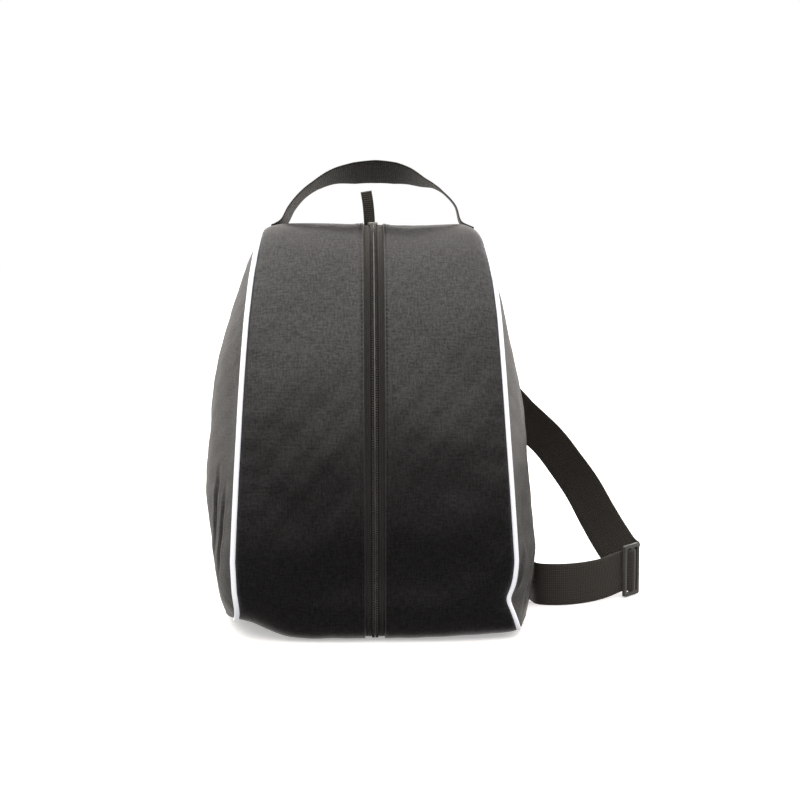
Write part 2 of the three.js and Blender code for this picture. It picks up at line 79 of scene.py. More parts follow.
# Half the width between the side seams, by height: shares of the body's height and of the low half width
SEAM_HEIGHTS = (0.0, 0.12, 0.2, 0.27, 0.5, 0.78, 0.87, 0.93, 1.0)
SEAM_WIDTHS = (0.99, 1.028, 1.035, 1.02, 0.972, 0.922, 0.899, 0.876, 0.84)

# The domed side panels: bulge, height of the fullest place and how fast it falls away
LEFT_DOME = {"bulge": 34.0, "height": 0.45, "power": 1.2}
RIGHT_DOME = {"bulge": 25.0, "height": 0.33, "power": 1.35}

# Piping, zip and webbing
PIPING_RADIUS = 2.4
ZIP_OPENING = 17.0
TAPE_WIDTH = 16.0
TAPE_THICKNESS = 0.8
COIL_WIDTH = 6.4
COIL_THICKNESS = 1.5
SLIDER_LENGTH = 13.0
SLIDER_HEIGHT = 3.4
PULL_WIDTH = 10.2
PULL_LENGTH = 28.0
PULL_THICKNESS = 1.2
WEBBING_WIDTH = 40.0
WEBBING_THICKNESS = 1.6
HANDLE_SPAN = 163.0
HANDLE_RISE = 52.0
HANDLE_LEAN = math.radians(6)
HANDLE_SHIFT = -3.0
HANDLE_SEAT = 47.0
GLIDE_LENGTH = 50.0
GLIDE_WIDTH = 26.0
GLIDE_THICKNESS = 3.0
GLIDE_TURN = math.radians(50)

# Soft folds and dents: where each is, how far it reaches and how far it pushes the cloth, as shares of
# half the width, half the depth and the height
FOLDS = {
    "left_toe_lift": ((-1, -0.85, 0), (0.24, 0.47, 0.094), (0.017, 0.016, 0.0332)),
    "left_lean": ((-1, -0.9, 0.62), (0.59, 1.16, 0.415), (-0.021, 0, 0)),
    "right_toe_tuck": ((1, -0.9, 0.1), (0.2, 0.39, 0.055), (-0.034, 0.023, 0)),
    "right_base_spread": ((1.1, -0.3, 0), (0.34, 0.85, 0.111), (0.034, 0, 0)),
    "left_crease": ((-1.1, -0.1, 0.18), (0.42, 0.47, 0.083), (0.042, 0, 0)),
    "left_pinch": ((-1.1, 0.3, 0.14), (0.42, 0.23, 0.033), (0.025, 0, 0)),
    "right_crease": ((1.1, -0.5, 0.2), (0.34, 0.12, 0.166), (-0.021, 0, 0)),
    "front_hollow": ((0.35, -0.95, 0.3), (0.29, 0.39, 0.166), (0, 0.019, 0)),
    "top_dip": ((0.3, 0.05, 0.98), (0.25, 0.47, 0.083), (0, 0, -0.0033)),
    "corner_drop": ((0.9, 0, 0.98), (0.12, 0.7, 0.111), (-0.008, 0, -0.0194)),
}
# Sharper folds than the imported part's facets hold, in the same shares
FINE_FOLDS = {
    "right_toe_kink": ((1.0, -0.92, 0.105), (0.14, 0.3, 0.024), (-0.024, 0, 0)),
    "right_toe_flare": ((1.0, -0.86, 0.03), (0.16, 0.3, 0.04), (0.012, 0, 0)),
    "left_notch": ((-1.2, 0.1, 0.127), (0.3, 0.5, 0.015), (0.022, 0, 0)),
    "toe_hollow": ((0, -0.95, 0.155), (1.0, 0.5, 0.08), (0, 0.032, 0)),
}

FRONT_Y = -BODY_DEPTH / 2 + FRONT_CROWN
BACK_Y = BODY_DEPTH / 2 - BACK_CROWN
TOP_Z = BODY_HEIGHT - TOP_CROWN
BASE_Z = BASE_CROWN
BELLY_Z = BODY_HEIGHT * 0.26
CREST_Y = BODY_DEPTH * 0.03
SHOULDER_Z = BODY_HEIGHT * 0.7
QUARTER_ARC = 0.5523  # how far a Bezier curve's handles reach for a quarter of an ellipse


def bezier(*corners):
    """Closely spaced points of a line or Bezier curve with these corners."""
    t = np.linspace(0, 1, 400)[:, None]
    rows = [np.asarray(corner, float) + 0 * t for corner in corners]
    while len(rows) > 1:
        rows = [a + (b - a) * t for a, b in zip(rows, rows[1:])]
    return rows[0]


OUTLINE_CURVES = (
    bezier(
        (FRONT_Y + TOE_LENGTH, BASE_Z),
        (FRONT_Y + TOE_LENGTH * 0.3, BASE_Z),
        (FRONT_Y, BASE_Z + BELLY_Z * 0.22),
        (FRONT_Y, BELLY_Z),
    ),
    bezier(
        (FRONT_Y, BELLY_Z),
        (FRONT_Y, BELLY_Z + (TOP_Z - BELLY_Z) * QUARTER_ARC),
        (CREST_Y - (CREST_Y - FRONT_Y) * QUARTER_ARC, TOP_Z),
        (CREST_Y, TOP_Z),
    ),
    bezier(
        (CREST_Y, TOP_Z),
        (CREST_Y + (BACK_Y - CREST_Y) * 0.62, TOP_Z),
        (BACK_Y, SHOULDER_Z + (TOP_Z - SHOULDER_Z) * 0.6),
        (BACK_Y, SHOULDER_Z),
    ),
    bezier((BACK_Y, SHOULDER_Z), (BACK_Y, BASE_Z + HEEL_RADIUS)),
    bezier((BACK_Y, BASE_Z + HEEL_RADIUS), (BACK_Y, BASE_Z), (BACK_Y - HEEL_RADIUS, BASE_Z)),
    bezier((BACK_Y - HEEL_RADIUS, BASE_Z), (FRONT_Y + TOE_LENGTH, BASE_Z)),
)


def run_lengths(points):
    """The length along a line of points, from its start to each of them."""
    steps = np.linalg.norm(np.diff(points, axis=0), axis=1)
    return np.concatenate([[0], np.cumsum(steps)])


OUTLINE_POINTS = np.concatenate([OUTLINE_CURVES[0], *(curve[1:] for curve in OUTLINE_CURVES[1:])])
OUTLINE_RUN = run_lengths(OUTLINE_POINTS)
OUTLINE_LENGTH = OUTLINE_RUN[-1]
CURVE_ENDS = np.cumsum([run_lengths(curve)[-1] for curve in OUTLINE_CURVES]) / OUTLINE_LENGTH


def share_of(length):
    return length / OUTLINE_LENGTH


def outline_point(s):
    run = np.mod(s, 1.0) * OUTLINE_LENGTH
    return np.stack([np.interp(run, OUTLINE_RUN, OUTLINE_POINTS[:, i]) for i in (0, 1)], -1)


def outline_frame(s):
    """The outline's points at shares of its length, with their outward normals, as YZ pairs."""
    step = 0.004
    tangent = outline_point(s + step) - outline_point(s - step)
    tangent /= np.linalg.norm(tangent, axis=-1, keepdims=True)
    return outline_point(s), np.stack([-tangent[..., 1], tangent[..., 0]], -1)


def share_after_crest(test):
    """The first of 500 shares past the crest whose point passes a test."""
    shares = np.arange(math.ceil(CURVE_ENDS[1] * 500), 500) / 500
    return float(shares[test(outline_point(shares))][0])


HEEL_AT = float(CURVE_ENDS[4])
HANDLE_AT = share_after_crest(lambda point: point[:, 0] >= HANDLE_SEAT)
TOP_SEAM_AT = HANDLE_AT - share_of(WEBBING_WIDTH / 2 + SEAM_ALLOWANCE)
ZIP_TOP_AT = TOP_SEAM_AT - share_of(SLIDER_LENGTH)


def smooth_step(x):
    x = np.clip(x, 0, 1)
    return x * x * (3 - 2 * x)


def half_width(y, z):
    seam = LOW_HALF_WIDTH * np.interp(z / BODY_HEIGHT, SEAM_HEIGHTS, SEAM_WIDTHS)
    along = np.clip((y - (FRONT_Y + BACK_Y) / 2) / ((BACK_Y - FRONT_Y) / 2), -1, 1)
    return seam + BASE_BOW * (1 - along**2) * (1 - smooth_step(z / BASE_BOW_HEIGHT))


def slump(points):
    """Points of the tidy form, moved by the folds."""
    size = np.array([LOW_HALF_WIDTH, BODY_DEPTH / 2, BODY_HEIGHT])
    moved = points.copy()
    for at, reach, push in (*FOLDS.values(), *FINE_FOLDS.values()):
        away = (points / size - at) / reach
        moved += np.array(push) * size * np.exp(-(away**2).sum(-1, keepdims=True))
    return moved


def skin(s, k, lift):
    """Points of the outer skin: s along the outline, k from -1 to 1 between the seams, lift outwards."""
    point, normal = outline_frame(s)
    backwards = np.maximum(0, normal[..., 0]) ** 2
    downwards = np.maximum(0, -normal[..., 1]) ** 2
    upwards = np.maximum(0, normal[..., 1]) ** 2
    crown = FRONT_CROWN + (BACK_CROWN - FRONT_CROWN) * backwards
    crown += (BASE_CROWN - FRONT_CROWN) * downwards + (TOP_CROWN - FRONT_CROWN) * upwards
    power = ROUNDED_POWER + (FLAT_POWER - ROUNDED_POWER) * upwards
    rise = crown * (1 - np.abs(k) ** power) + lift
    tidy = [
        k * half_width(point[..., 0], point[..., 1]),
        point[..., 0] + normal[..., 0] * rise,
        point[..., 1] + normal[..., 1] * rise,
    ]
    return slump(np.stack(tidy, -1))


def seam_x(s):
    point = outline_point(s)
    return half_width(point[..., 0], point[..., 1])


def swell(points, wavelength, seed):
    """Soft uneven swell, mostly between -1 and 1: plane waves in set directions."""
    draw = np.random.default_rng(seed)
    total = np.zeros(len(points))
    waves = 8
    for _ in range(waves):
        way = draw.normal(size=3)
        way /= np.linalg.norm(way)
        length = wavelength * draw.uniform(0.7, 1.6)
        total += np.sin(points @ way * (2 * math.pi / length) + draw.uniform(0, 2 * math.pi))
    return total / math.sqrt(waves)


# Meshes

MERGE_DISTANCE = 1e-6  # between points that are one, in metres


def finished(mesh_data, name, finish, nodes=(), stage=False):
    """An object at the origin that holds a bmesh, smooth, with its finish, body and CAD nodes."""
    mesh = bpy.data.meshes.new(name)
    mesh_data.to_mesh(mesh)
    mesh_data.free()
    mesh.polygons.foreach_set("use_smooth", [True] * len(mesh.polygons))
    mesh.materials.append(finish_named(finish))
    piece = bpy.data.objects.new(name, mesh)
    bpy.context.scene.collection.objects.link(piece)
    if stage:
        return piece
    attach(piece, BODY)
    if nodes:
        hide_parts(*nodes)
    return piece


def cloth_grid(surface, pattern, steps_u, steps_v):
    """A bmesh grid laid onto a surface of u and v in millimetres, with a UV map in metres of cloth."""
    bm = bmesh.new()
    layer = bm.loops.layers.uv.new("Cloth")
    bmesh.ops.create_grid(bm, x_segments=steps_u, y_segments=steps_v, size=1, calc_uvs=True)
    flat = np.array([vert.co for vert in bm.verts])
    u, v = (flat[:, 0] + 1) / 2, (flat[:, 1] + 1) / 2
    places = surface(u, v) * MM
    cloth = pattern(u, v) * MM
    for vert, place in zip(bm.verts, places):
        vert.co = place
    bm.verts.index_update()
    for face in bm.faces:
        for loop in face.loops:
            loop[layer].uv = cloth[loop.vert.index]
    return bm


def close_seams(bm):
    """Merges the places where a grid meets itself, and turns its faces outwards."""
    bmesh.ops.remove_doubles(bm, verts=bm.verts, dist=MERGE_DISTANCE)
    bmesh.ops.recalc_face_normals(bm, faces=bm.faces)


def face_outwards(bm, outwards):
    """Turns an open sheet over if its faces look against a direction that depends on their place."""
    bm.normal_update()
    votes = sum(face.normal.dot(outwards(face.calc_center_median())) > 0 for face in bm.faces)
    if votes < len(bm.faces) / 2:
        bmesh.ops.reverse_faces(bm, faces=bm.faces)


def beads(size, rows, places):
    """A bmesh of many rounded beads, of half lengths in metres, one for each matrix."""
    one = bpy.data.meshes.new("one")
    bm = bmesh.new()
    stretch = Matrix.Diagonal((*size, 1))
    bmesh.ops.create_uvsphere(bm, u_segments=8, v_segments=rows, radius=1, matrix=stretch)
    bm.to_mesh(one)
    bm.free()
    many = bmesh.new()
    for place in places:
        one.transform(place)
        many.from_mesh(one)
        one.transform(place.inverted())
    bpy.data.meshes.remove(one)
    return many


# Finishes

FOLD_HIGHLIGHT_WIDTH = 1.3  # of the painted highlight, a paler band of cloth along a folded edge
SLUB_SIZES = ((1.6, 7.0), (7.0, 1.6), (1.7, 2.1))  # of the cloth's grain, across and along


def linear(colour):
    """The linear colour of an sRGB hex value such as 1c1c1d."""
    parts = [int(colour[i : i + 2], 16) / 255 for i in (0, 2, 4)]
    return (*(c / 12.92 if c <= 0.04045 else ((c + 0.055) / 1.055) ** 2.4 for c in parts), 1.0)


def add(material, kind, inputs=None, **settings):
    """One node of a material, with its settings, and its inputs set or linked."""
    tree = material.node_tree
    node = tree.nodes.new(kind)
    for key, value in settings.items():
        setattr(node, key, value)
    for key, value in (inputs or {}).items():
        if isinstance(value, bpy.types.NodeSocket):
            tree.links.new(value, node.inputs[key])
        else:
            node.inputs[key].default_value = value
    return node


def maths(material, operation, *values):
    return add(material, "ShaderNodeMath", dict(enumerate(values)), operation=operation).outputs[0]


def ranged(material, value, low, high, start=0.0, end=1.0, **settings):
    """A number that goes from start to end while a value goes from low to high."""
    limits = {"From Min": low, "From Max": high, "To Min": start, "To Max": end}
    return add(material, "ShaderNodeMapRange", {"Value": value, **limits}, **settings).outputs[0]


def blend(material, factor, first, second):
    """A colour between two colours."""
    mix = {"Factor": factor, "A": first, "B": second}
    return add(material, "ShaderNodeMix", mix, data_type="RGBA").outputs["Result"]


def noise(material, where, scale, detail):
    looks = {"Vector": where, "Scale": scale, "Detail": detail}
    return add(material, "ShaderNodeTexNoise", looks).outputs["Fac"]


def threads(material, cloth, period, direction, **looks):
    """Parallel threads or ribs that repeat once in a period, in millimetres."""
    looks = {"Vector": cloth, "Scale": 2 * math.pi / 20 / (period * MM), **looks}
    wave = add(material, "ShaderNodeTexWave", looks, wave_type="BANDS", bands_direction=direction)
    return wave.outputs["Fac"]


def bump(material, height, strength, distance):
    """The normal over a relief whose full height is a distance in millimetres."""
    looks = {"Height": height, "Strength": strength, "Distance": distance * MM}
    return add(material, "ShaderNodeBump", looks).outputs[0]


def new_finish(name, on_cloth=False):
    """An empty material, and where its patterns are laid: on the cloth, or in the object's space."""
    material = bpy.data.materials.new(name)
    material.use_nodes = True
    material.node_tree.nodes.clear()
    if on_cloth:
        return material, add(material, "ShaderNodeUVMap", uv_map="Cloth").outputs[0]
    return material, add(material, "ShaderNodeTexCoord").outputs["Object"]


def dressed(material, looks):
    """Ends a material in a surface with these looks."""
    surface = add(material, "ShaderNodeBsdfPrincipled", looks)
    add(material, "ShaderNodeOutputMaterial", {"Surface": surface.outputs[0]})
    return material


def oxford_cloth(name, dark, light, pitch, highlight_from=None):
    """Woven polyester oxford, piece-dyed: slubs along both threads and a fine speckle where some threads
    shine more than others. Along a folded edge it has a painted highlight: a paler band with more shine."""
    material, cloth = new_finish(name, on_cloth=True)
    warp, weft = (threads(material, cloth, pitch, way) for way in "XY")
    over = add(material, "ShaderNodeTexChecker", {"Vector": cloth, "Scale": 1 / (pitch * MM)})
    woven = {"Factor": over.outputs["Fac"], "A": warp, "B": weft}
    weave = add(material, "ShaderNodeMix", woven, data_type="FLOAT").outputs[0]
    grains = []
    for grain in SLUB_SIZES:
        scale = {"Vector": cloth, "Scale": (*(1 / (size * MM) for size in grain), 1)}
        grains.append(noise(material, add(material, "ShaderNodeMapping", scale).outputs[0], 1.0, 1.0))
    slubs = maths(material, "ADD", maths(material, "ADD", *grains[:2]), grains[2])
    place = add(material, "ShaderNodeTexCoord").outputs["Object"]
    patches = noise(material, place, 9.0, 3.0)
    tone = ranged(material, maths(material, "ADD", slubs, patches), 1.5, 2.5)
    colour = blend(material, tone, linear(dark), linear(light))
    shine = ranged(material, slubs, 1.15, 1.85, 0.36, 0.66)
    # Painted highlight: a paler band with more shine along the folded edge beside the zip, where the
    # rounded fold catches the light
    if highlight_from:
        across = add(material, "ShaderNodeSeparateXYZ", {"Vector": cloth}).outputs["X"]
        away = maths(material, "ABSOLUTE", across)
        paler_part = ranged(material, away, highlight_from * MM, (highlight_from + FOLD_HIGHLIGHT_WIDTH) * MM, 1.0, 0.0)
        colour = blend(material, paler_part, colour, linear("484744"))
        shine = maths(material, "MULTIPLY_ADD", paler_part, 0.3, shine)
    height = maths(material, "MULTIPLY_ADD", slubs, 0.9, weave)
    looks = {
        "Base Color": colour,
        "Specular IOR Level": shine,
        "Roughness": 0.33,
        "Sheen Weight": 0.01,
        "Sheen Roughness": 0.38,
        "Sheen Tint": linear("f2f0ee"),
        "Normal": bump(material, height, 0.5, 0.13 * pitch),
    }
    return dressed(material, looks)


def satin_piping(colour, glow):
    """White reflective piping cord with fine binding threads round it. Its glow is painted light: an
    emission in the cord's own tone that stands in for the lamp's light such a cord throws straight back to
    the camera."""
    material, cloth = new_finish("satin_piping", on_cloth=True)
    binding = threads(material, cloth, 0.9, "DIAGONAL", Distortion=0.6)
    tone = blend(material, binding, linear("e3e6f0"), (*colour, 1.0))
    looks = {
        "Base Color": tone,
        "Roughness": 0.38,
        # Painted light: the cord glows by itself, standing in for the light it throws back
        "Emission Color": tone,
        "Emission Strength": glow,
        "Normal": bump(material, binding, 0.3, 0.1),
    }
    return dressed(material, looks)


def ribbed_webbing(name, dark, light, rib, column, lengthwise):
    """Woven polyester webbing: cross ribs that show as fine bars, in columns along the strap, which show
    the more the higher the last value. Its tone follows the relief: painted shade in the grooves, paler
    tops, and random fibre tone."""
    material, cloth = new_finish(name, on_cloth=True)
    ribs = threads(material, cloth, rib, "Y", Distortion=0.4, Detail=1.0)
    columns = threads(material, cloth, column, "X", Distortion=0.2)
    height = maths(material, "MULTIPLY_ADD", columns, lengthwise, ribs)
    fibres = noise(material, cloth, 900.0, 2.0)
    groove_shade_and_fibres = maths(material, "MULTIPLY_ADD", height, 0.72 / (1 + lengthwise), fibres)
    looks = {
        # Painted shade: darker where the relief is low, in the grooves between ribs and columns, paler on
        # their tops
        "Base Color": blend(material, ranged(material, groove_shade_and_fibres, 0.35, 1.2), linear(dark), linear(light)),
        "Roughness": 0.5,
        "Sheen Weight": 0.25,
        "Sheen Roughness": 0.4,
        "Sheen Tint": linear("efe9e2"),
        "Normal": bump(material, height, 0.7, 0.3),
    }
    return dressed(material, looks)


def nylon(name, dark, light, roughness):
    """Moulded or drawn nylon: smooth and slightly glossy, with a little uneven tone."""
    material, place = new_finish(name)
    grain = noise(material, place, 160.0, 3.0)
    looks = {
        "Base Color": blend(material, grain, linear(dark), linear(light)),
        "Roughness": roughness,
        "IOR": 1.53,
        "Normal": bump(material, grain, 0.15, 0.1),
    }
    return dressed(material, looks)


def painted_zinc():
    """Zinc die casting, its enamel slightly worn: hard highlights on its rounded edges."""
    material, place = new_finish("painted_zinc")
    paler_part = ranged(material, noise(material, place, 420.0, 4.0), 0.45, 1.0)
    colour = blend(material, paler_part, linear("7d7b77"), linear("d6d3cc"))
    return dressed(material, {"Base Color": colour, "Metallic": 0.7, "Roughness": 0.32})


def pale_floor(colour):
    """A plain pale studio sweep, matt."""
    material, place = new_finish("pale_sweep")
    tone = blend(material, noise(material, place, 3.0, 2.0), (*colour, 1.0), linear("fbfbfb"))
    looks = {
        "Base Color": tone,
        "Roughness": 0.9,
        "Specular IOR Level": 0.2,
        "Emission Color": tone,
        "Emission Strength": 0.4,
    }
    return dressed(material, looks)


def fine_length(name, millimetres, description):
    """A property for a length of fine work."""
    return FloatProperty(
        name=name,
        description=description,
        default=millimetres * MM,
        min=0.1 * MM,
        subtype="DISTANCE",
        unit="LENGTH",
    )


def brightness(name, default, description):
    return FloatProperty(name=name, description=description, default=default, min=0.0)


def colour_of(name, colour, description):
    """A property for a colour that starts as an sRGB hex value."""
    return FloatVectorProperty(
        name=name,
        description=description,
        default=linear(colour)[:3],
        size=3,
        min=0.0,
        max=1.0,
        subtype="COLOR",
    )


class BagSizes(bpy.types.PropertyGroup):
    """Sizes of the cloth's and the trim's fine work."""

    weave_pitch: fine_length("Weave pitch", 1.1, "Distance between threads, coarser than real")
    stitch_length: fine_length("Stitch length", 2.9, "Length of one topstitch")
    stitch_gap: fine_length("Stitch gap", 1.0, "Gap between two topstitches, where the thread dives")
    tooth_pitch: fine_length("Tooth pitch", 2.0, "Distance along the zip between teeth on one side")
    rib_pitch: fine_length("Rib pitch", 1.9, "Distance between the cross ribs of the webbing")
    softness: FloatProperty(
        name="Softness",
        description="How far the cloth swells and dents away from the tidy form",
        default=1.0,
        min=0.0,
        max=3.0,
        subtype="FACTOR",
    )


class BagColours(bpy.types.PropertyGroup):
    """Colours that a user would change, linear."""

    piping: colour_of("Piping", "fafbff", "Colour of the cord piping")
    # Painted light: how strongly the piping glows, standing in for the light it throws back to the camera
    piping_painted_glow: brightness("Piping glow", 0.42, "Light that the piping throws back to the camera")
    floor: colour_of("Floor", "f4f4f4", "Colour of the studio floor")


class BagLight(bpy.types.PropertyGroup):
    """Brightness of the studio round the bag."""

    ceiling: brightness("Ceiling", 2.5, "Brightness of the softbox straight overhead")
    front_sky: brightness("Front sky", 1.2, "Brightness of the softbox's edge, low over the camera")
    back_wall: brightness("Back wall", 1.1, "Brightness of the white sweep behind the bag")
    room: brightness("Room", 0.03, "Brightness of the dim room on the camera's side")
    floor_glow: brightness("Floor glow", 0.16, "Brightness of the floor that the toe mirrors")
    side: brightness("Side light", 1.0, "Power of the softbox at each side, in watts")


FINISHES = {}


def finish_named(name):
    """The finish of that name, made once."""
    if name in FINISHES:
        return FINISHES[name]
    sizes = bpy.context.scene.bag_sizes
    colours = bpy.context.scene.bag_colours
    pitch = sizes.weave_pitch / MM
    rib = sizes.rib_pitch / MM
    makers = {
        "band_cloth": lambda: oxford_cloth("oxford_band", "0a0a0b", "171718", pitch, ZIP_OPENING / 2),
        # Painted light: the side panels are the same black oxford as the band; their paler tone stands in
        # for the light of the side softboxes and the sweep
        "side_cloth": lambda: oxford_cloth("oxford_side_painted_lit", "171615", "2c2a28", pitch),
        "piping": lambda: satin_piping(tuple(colours.piping), colours.piping_painted_glow),
        "webbing": lambda: ribbed_webbing("ribbed_webbing", "1c1b19", "443f3a", rib, 2.3, 0.6),
        # The tape's strongly weighted columns paint dark shade into its lengthwise grooves
        "tape": lambda: ribbed_webbing("zip_tape_weave", "040404", "2a2825", 0.9, 2.45, 2.6),
        "coil": lambda: nylon("drawn_nylon_coil", "1c1c1a", "3a3a37", 0.24),
        # Painted highlight: the zip's raised middle is the coil's nylon made paler, so that it shows bright
        "cord": lambda: nylon("zip_cord_painted_paler", "2b2a28", "5c5a55", 0.14),
        "thread": lambda: nylon("polyester_thread", "101010", "222120", 0.5),
        "glide": lambda: nylon("moulded_acetal", "4c4d4b", "636461", 0.2),
        "zinc": painted_zinc,
        "floor": lambda: pale_floor(tuple(colours.floor)),
    }
    FINISHES[name] = makers[name]()
    return FINISHES[name]


# What starts the random draws of each uneven form
SEEDS = {
    "band_seam": 11,
    "band_swell": 21,
    "band_ripple": 22,
    "back": 31,
    "base": 41,
    "side_seam": 51,
    "side_swell": 61,
    "side_ripple": 64,
}

# The zipped band, back and base

PIPING_COVER = 1.3  # how far each panel's edge reaches in under the piping's middle
TURN_RADIUS = 1.4  # of the folded edge beside the zip
LIP = {"height": 0.45, "at": 1.12, "reach": 0.7}  # the fold's raised rim
TOPSTITCH_IN = 2.6  # from the folded edge to its topstitch
GROOVE = {"depth": 0.55, "reach": 0.75}  # that the topstitch pulls in
HEM_WIDTH = 9.0  # of the doubled cloth beside the zip
HEM_HEIGHT = 0.5
HEM_FALL = 3.0  # over which the hem's height ends
HEM_STARTS = 40.0  # along the outline, where the hem has its full height above the toe seam
SEAM_TURN = {"depth": 1.8, "reach": 2.2}  # of a panel's cloth, turned down into a seam
PUCKER = {"height": 0.28, "length": 17.0, "reach": 11.0}  # of the shallow waves beside a seam
CROWDING = 0.92  # how much closer the band's rows are at its edges than in its middle
BAND_GRID = (420, 52)
BACK_GRID = (220, 110)
BASE_GRID = (90, 90)


def from_the_middle(centre):
    """Outwards, for a wall around the bag's middle."""
    return centre - Vector((0, 0, BODY_HEIGHT * 0.45 * MM))


def sheet(node, finish, cloth, grid, thickness=WALL, outwards=from_the_middle):
    """A sheet of cloth that stands for a CAD node, with its thickness inwards."""
    bm = cloth_grid(*cloth, *grid)
    bmesh.ops.remove_doubles(bm, verts=bm.verts, dist=MERGE_DISTANCE)
    face_outwards(bm, outwards)
    piece = finished(bm, f"bag_{node}", finish, (node,))
    shell = piece.modifiers.new("Wall", "SOLIDIFY")
    shell.thickness = thickness * MM
    shell.offset = -1


def laid(place):
    """Surface and pattern of cloth laid on the skin: place gives its s, k and lift at u and v."""

    def surface(u, v):
        return skin(*place(u, v))

    def pattern(u, v):
        s, k, _ = place(u, v)
        return np.stack([k * seam_x(s), s * OUTLINE_LENGTH], -1)

    return surface, pattern


def fold_relief(inwards):
    """Height over the skin beside the zip: the rounded fold, the stitched groove and the doubled hem."""
    turn = np.clip(inwards / TURN_RADIUS, 0, 1)
    rounded = TURN_RADIUS * (np.sqrt(1 - (1 - turn) ** 2) - 1)
    groove = -GROOVE["depth"] * np.exp(-(((inwards - TOPSTITCH_IN) / GROOVE["reach"]) ** 2))
    hem = HEM_HEIGHT * (1 - smooth_step((inwards - HEM_WIDTH + HEM_FALL) / HEM_FALL))
    lip = LIP["height"] * np.exp(-(((inwards - LIP["at"]) / LIP["reach"]) ** 2))
    return rounded + groove + hem + lip


def seam_relief(inwards, run, seed):
    """Height over the skin beside a piped seam: the cloth turned down, with shallow puckers."""
    turned = -SEAM_TURN["depth"] * np.exp(-inwards / SEAM_TURN["reach"])
    line = np.stack([run, 0 * run, 0 * run], -1)
    pucker = swell(line, PUCKER["length"], seed) * PUCKER["height"] * np.exp(-inwards / PUCKER["reach"])
    return turned + pucker


def band_surface(side, softness):
    """The surface of a half of the band: u along the outline, v from the folded edge to the seam."""

    def place(u, v):
        s = u * TOP_SEAM_AT
        spread = v - CROWDING * np.sin(2 * math.pi * v) / (2 * math.pi)
        start = ZIP_OPENING / 2
        end = seam_x(s) - PIPING_COVER
        x = start + (end - start) * spread
        lift = fold_relief(x - start) * smooth_step(s * OUTLINE_LENGTH / HEM_STARTS)
        lift += seam_relief(end - x, s * OUTLINE_LENGTH, SEEDS["band_seam"] + side)
        k = side * x / seam_x(s)
        tidy = skin(s, k, 0.0)
        calm = smooth_step((x - start) / 20) * smooth_step((end - x) / 25)
        lift += softness * 0.7 * swell(tidy, 85.0, SEEDS["band_swell"]) * (0.25 + 0.75 * calm)
        lift += softness * 0.22 * swell(tidy, 26.0, SEEDS["band_ripple"]) * calm
        return s, k, lift

    return laid(place)


class BAG_OT_band(bpy.types.Operator):
    """Lays the two halves of the zipped band over the front and top"""

    bl_idname = "bag.band"
    bl_label = "Zipped band"

    def execute(self, context):
        softness = context.scene.bag_sizes.softness
        for word, side in SIDES:
            cloth = band_surface(side, softness)
            sheet(f"band_{word}", "band_cloth", cloth, BAND_GRID)
        return {"FINISHED"}


def closed_panel(start, end, cover, seed, softness):
    """The surface of a panel from seam to seam across: u along the outline, v across."""

    def place(u, v):
        s = start + (end - start) * u
        spread = (1 - np.cos(math.pi * v)) / 2
        edge = seam_x(s) - cover
        x = (2 * spread - 1) * edge
        along = np.minimum(s - start, end - s) * OUTLINE_LENGTH
        k = x / seam_x(s)
        tidy = skin(s, k, 0.0)
        lift = seam_relief(edge - np.abs(x), s * OUTLINE_LENGTH, seed)
        lift += seam_relief(along, x, seed + 1) * 0.6
        calm = smooth_step((edge - np.abs(x)) / 30) * smooth_step(along / 30)
        uneven = 0.9 * swell(tidy, 95.0, seed + 2) + 0.25 * swell(tidy, 30.0, seed + 3)
        lift += softness * uneven * calm
        return s, k, lift

    return laid(place)


class BAG_OT_back_and_base(bpy.types.Operator):
    """Closes the bag behind and below"""

    bl_idname = "bag.back_and_base"
    bl_label = "Back and base panels"

    def execute(self, context):
        softness = context.scene.bag_sizes.softness
        back = closed_panel(TOP_SEAM_AT, HEEL_AT, PIPING_COVER, SEEDS["back"], softness)
        sheet("back_panel", "band_cloth", back, BACK_GRID)
        base = closed_panel(HEEL_AT, 1.0, 0.0, SEEDS["base"], 0.0)
        sheet("base_panel", "band_cloth", base, BASE_GRID)
        return {"FINISHED"}


# The side panels

PANEL_REACH = 130.0  # from a panel's fullest place to its rim, about
SIDE_GRID = (400, 56)

# Creases in the side cloth: two ends as shares of half the depth and of the height, depth and half width
LEFT_CREASES = (
    ((-0.56, 0.42), (-0.5, 0.17), 2.8, 4.5),
    ((-0.7, 0.38), (-0.63, 0.13), 2.4, 4.0),
    ((-0.35, 0.2), (0.35, 0.15), 2.2, 8.0),
    ((0.2, 0.42), (0.62, 0.16), 1.6, 9.0),
    ((-0.2, 0.62), (0.1, 0.3), 1.1, 12.0),
)
RIGHT_CREASES = (
    ((-0.86, 0.1), (-0.55, 0.27), 2.4, 5.0),
    ((-0.7, 0.05), (-0.35, 0.2), 2.0, 5.0),
    ((0.3, 0.45), (0.65, 0.18), 1.5, 9.0),
    ((-0.3, 0.6), (0.0, 0.34), 1.0, 12.0),
)


def crease_relief(y, z, creases):
    """Height of soft creases: each a groove between two low lips, fading to its ends."""
    at = np.stack([y / (BODY_DEPTH / 2), z / BODY_HEIGHT], -1)
    size = np.array([BODY_DEPTH / 2, BODY_HEIGHT])
    total = 0 * y
    for start, end, depth, width in creases:
        start, end = np.array(start), np.array(end)
        way = (end - start) * size
        along = ((at - start) * size @ way) / (way @ way)
        nearest = start + np.clip(along, 0, 1)[:, None] * (end - start)
        away = np.linalg.norm((at - nearest) * size, axis=1) / width
        fade = smooth_step(1.2 - np.abs(2 * along - 1))
        total += depth * fade * ((away**2) * 1.2 - 1) * np.exp(-(away**2))
    return total


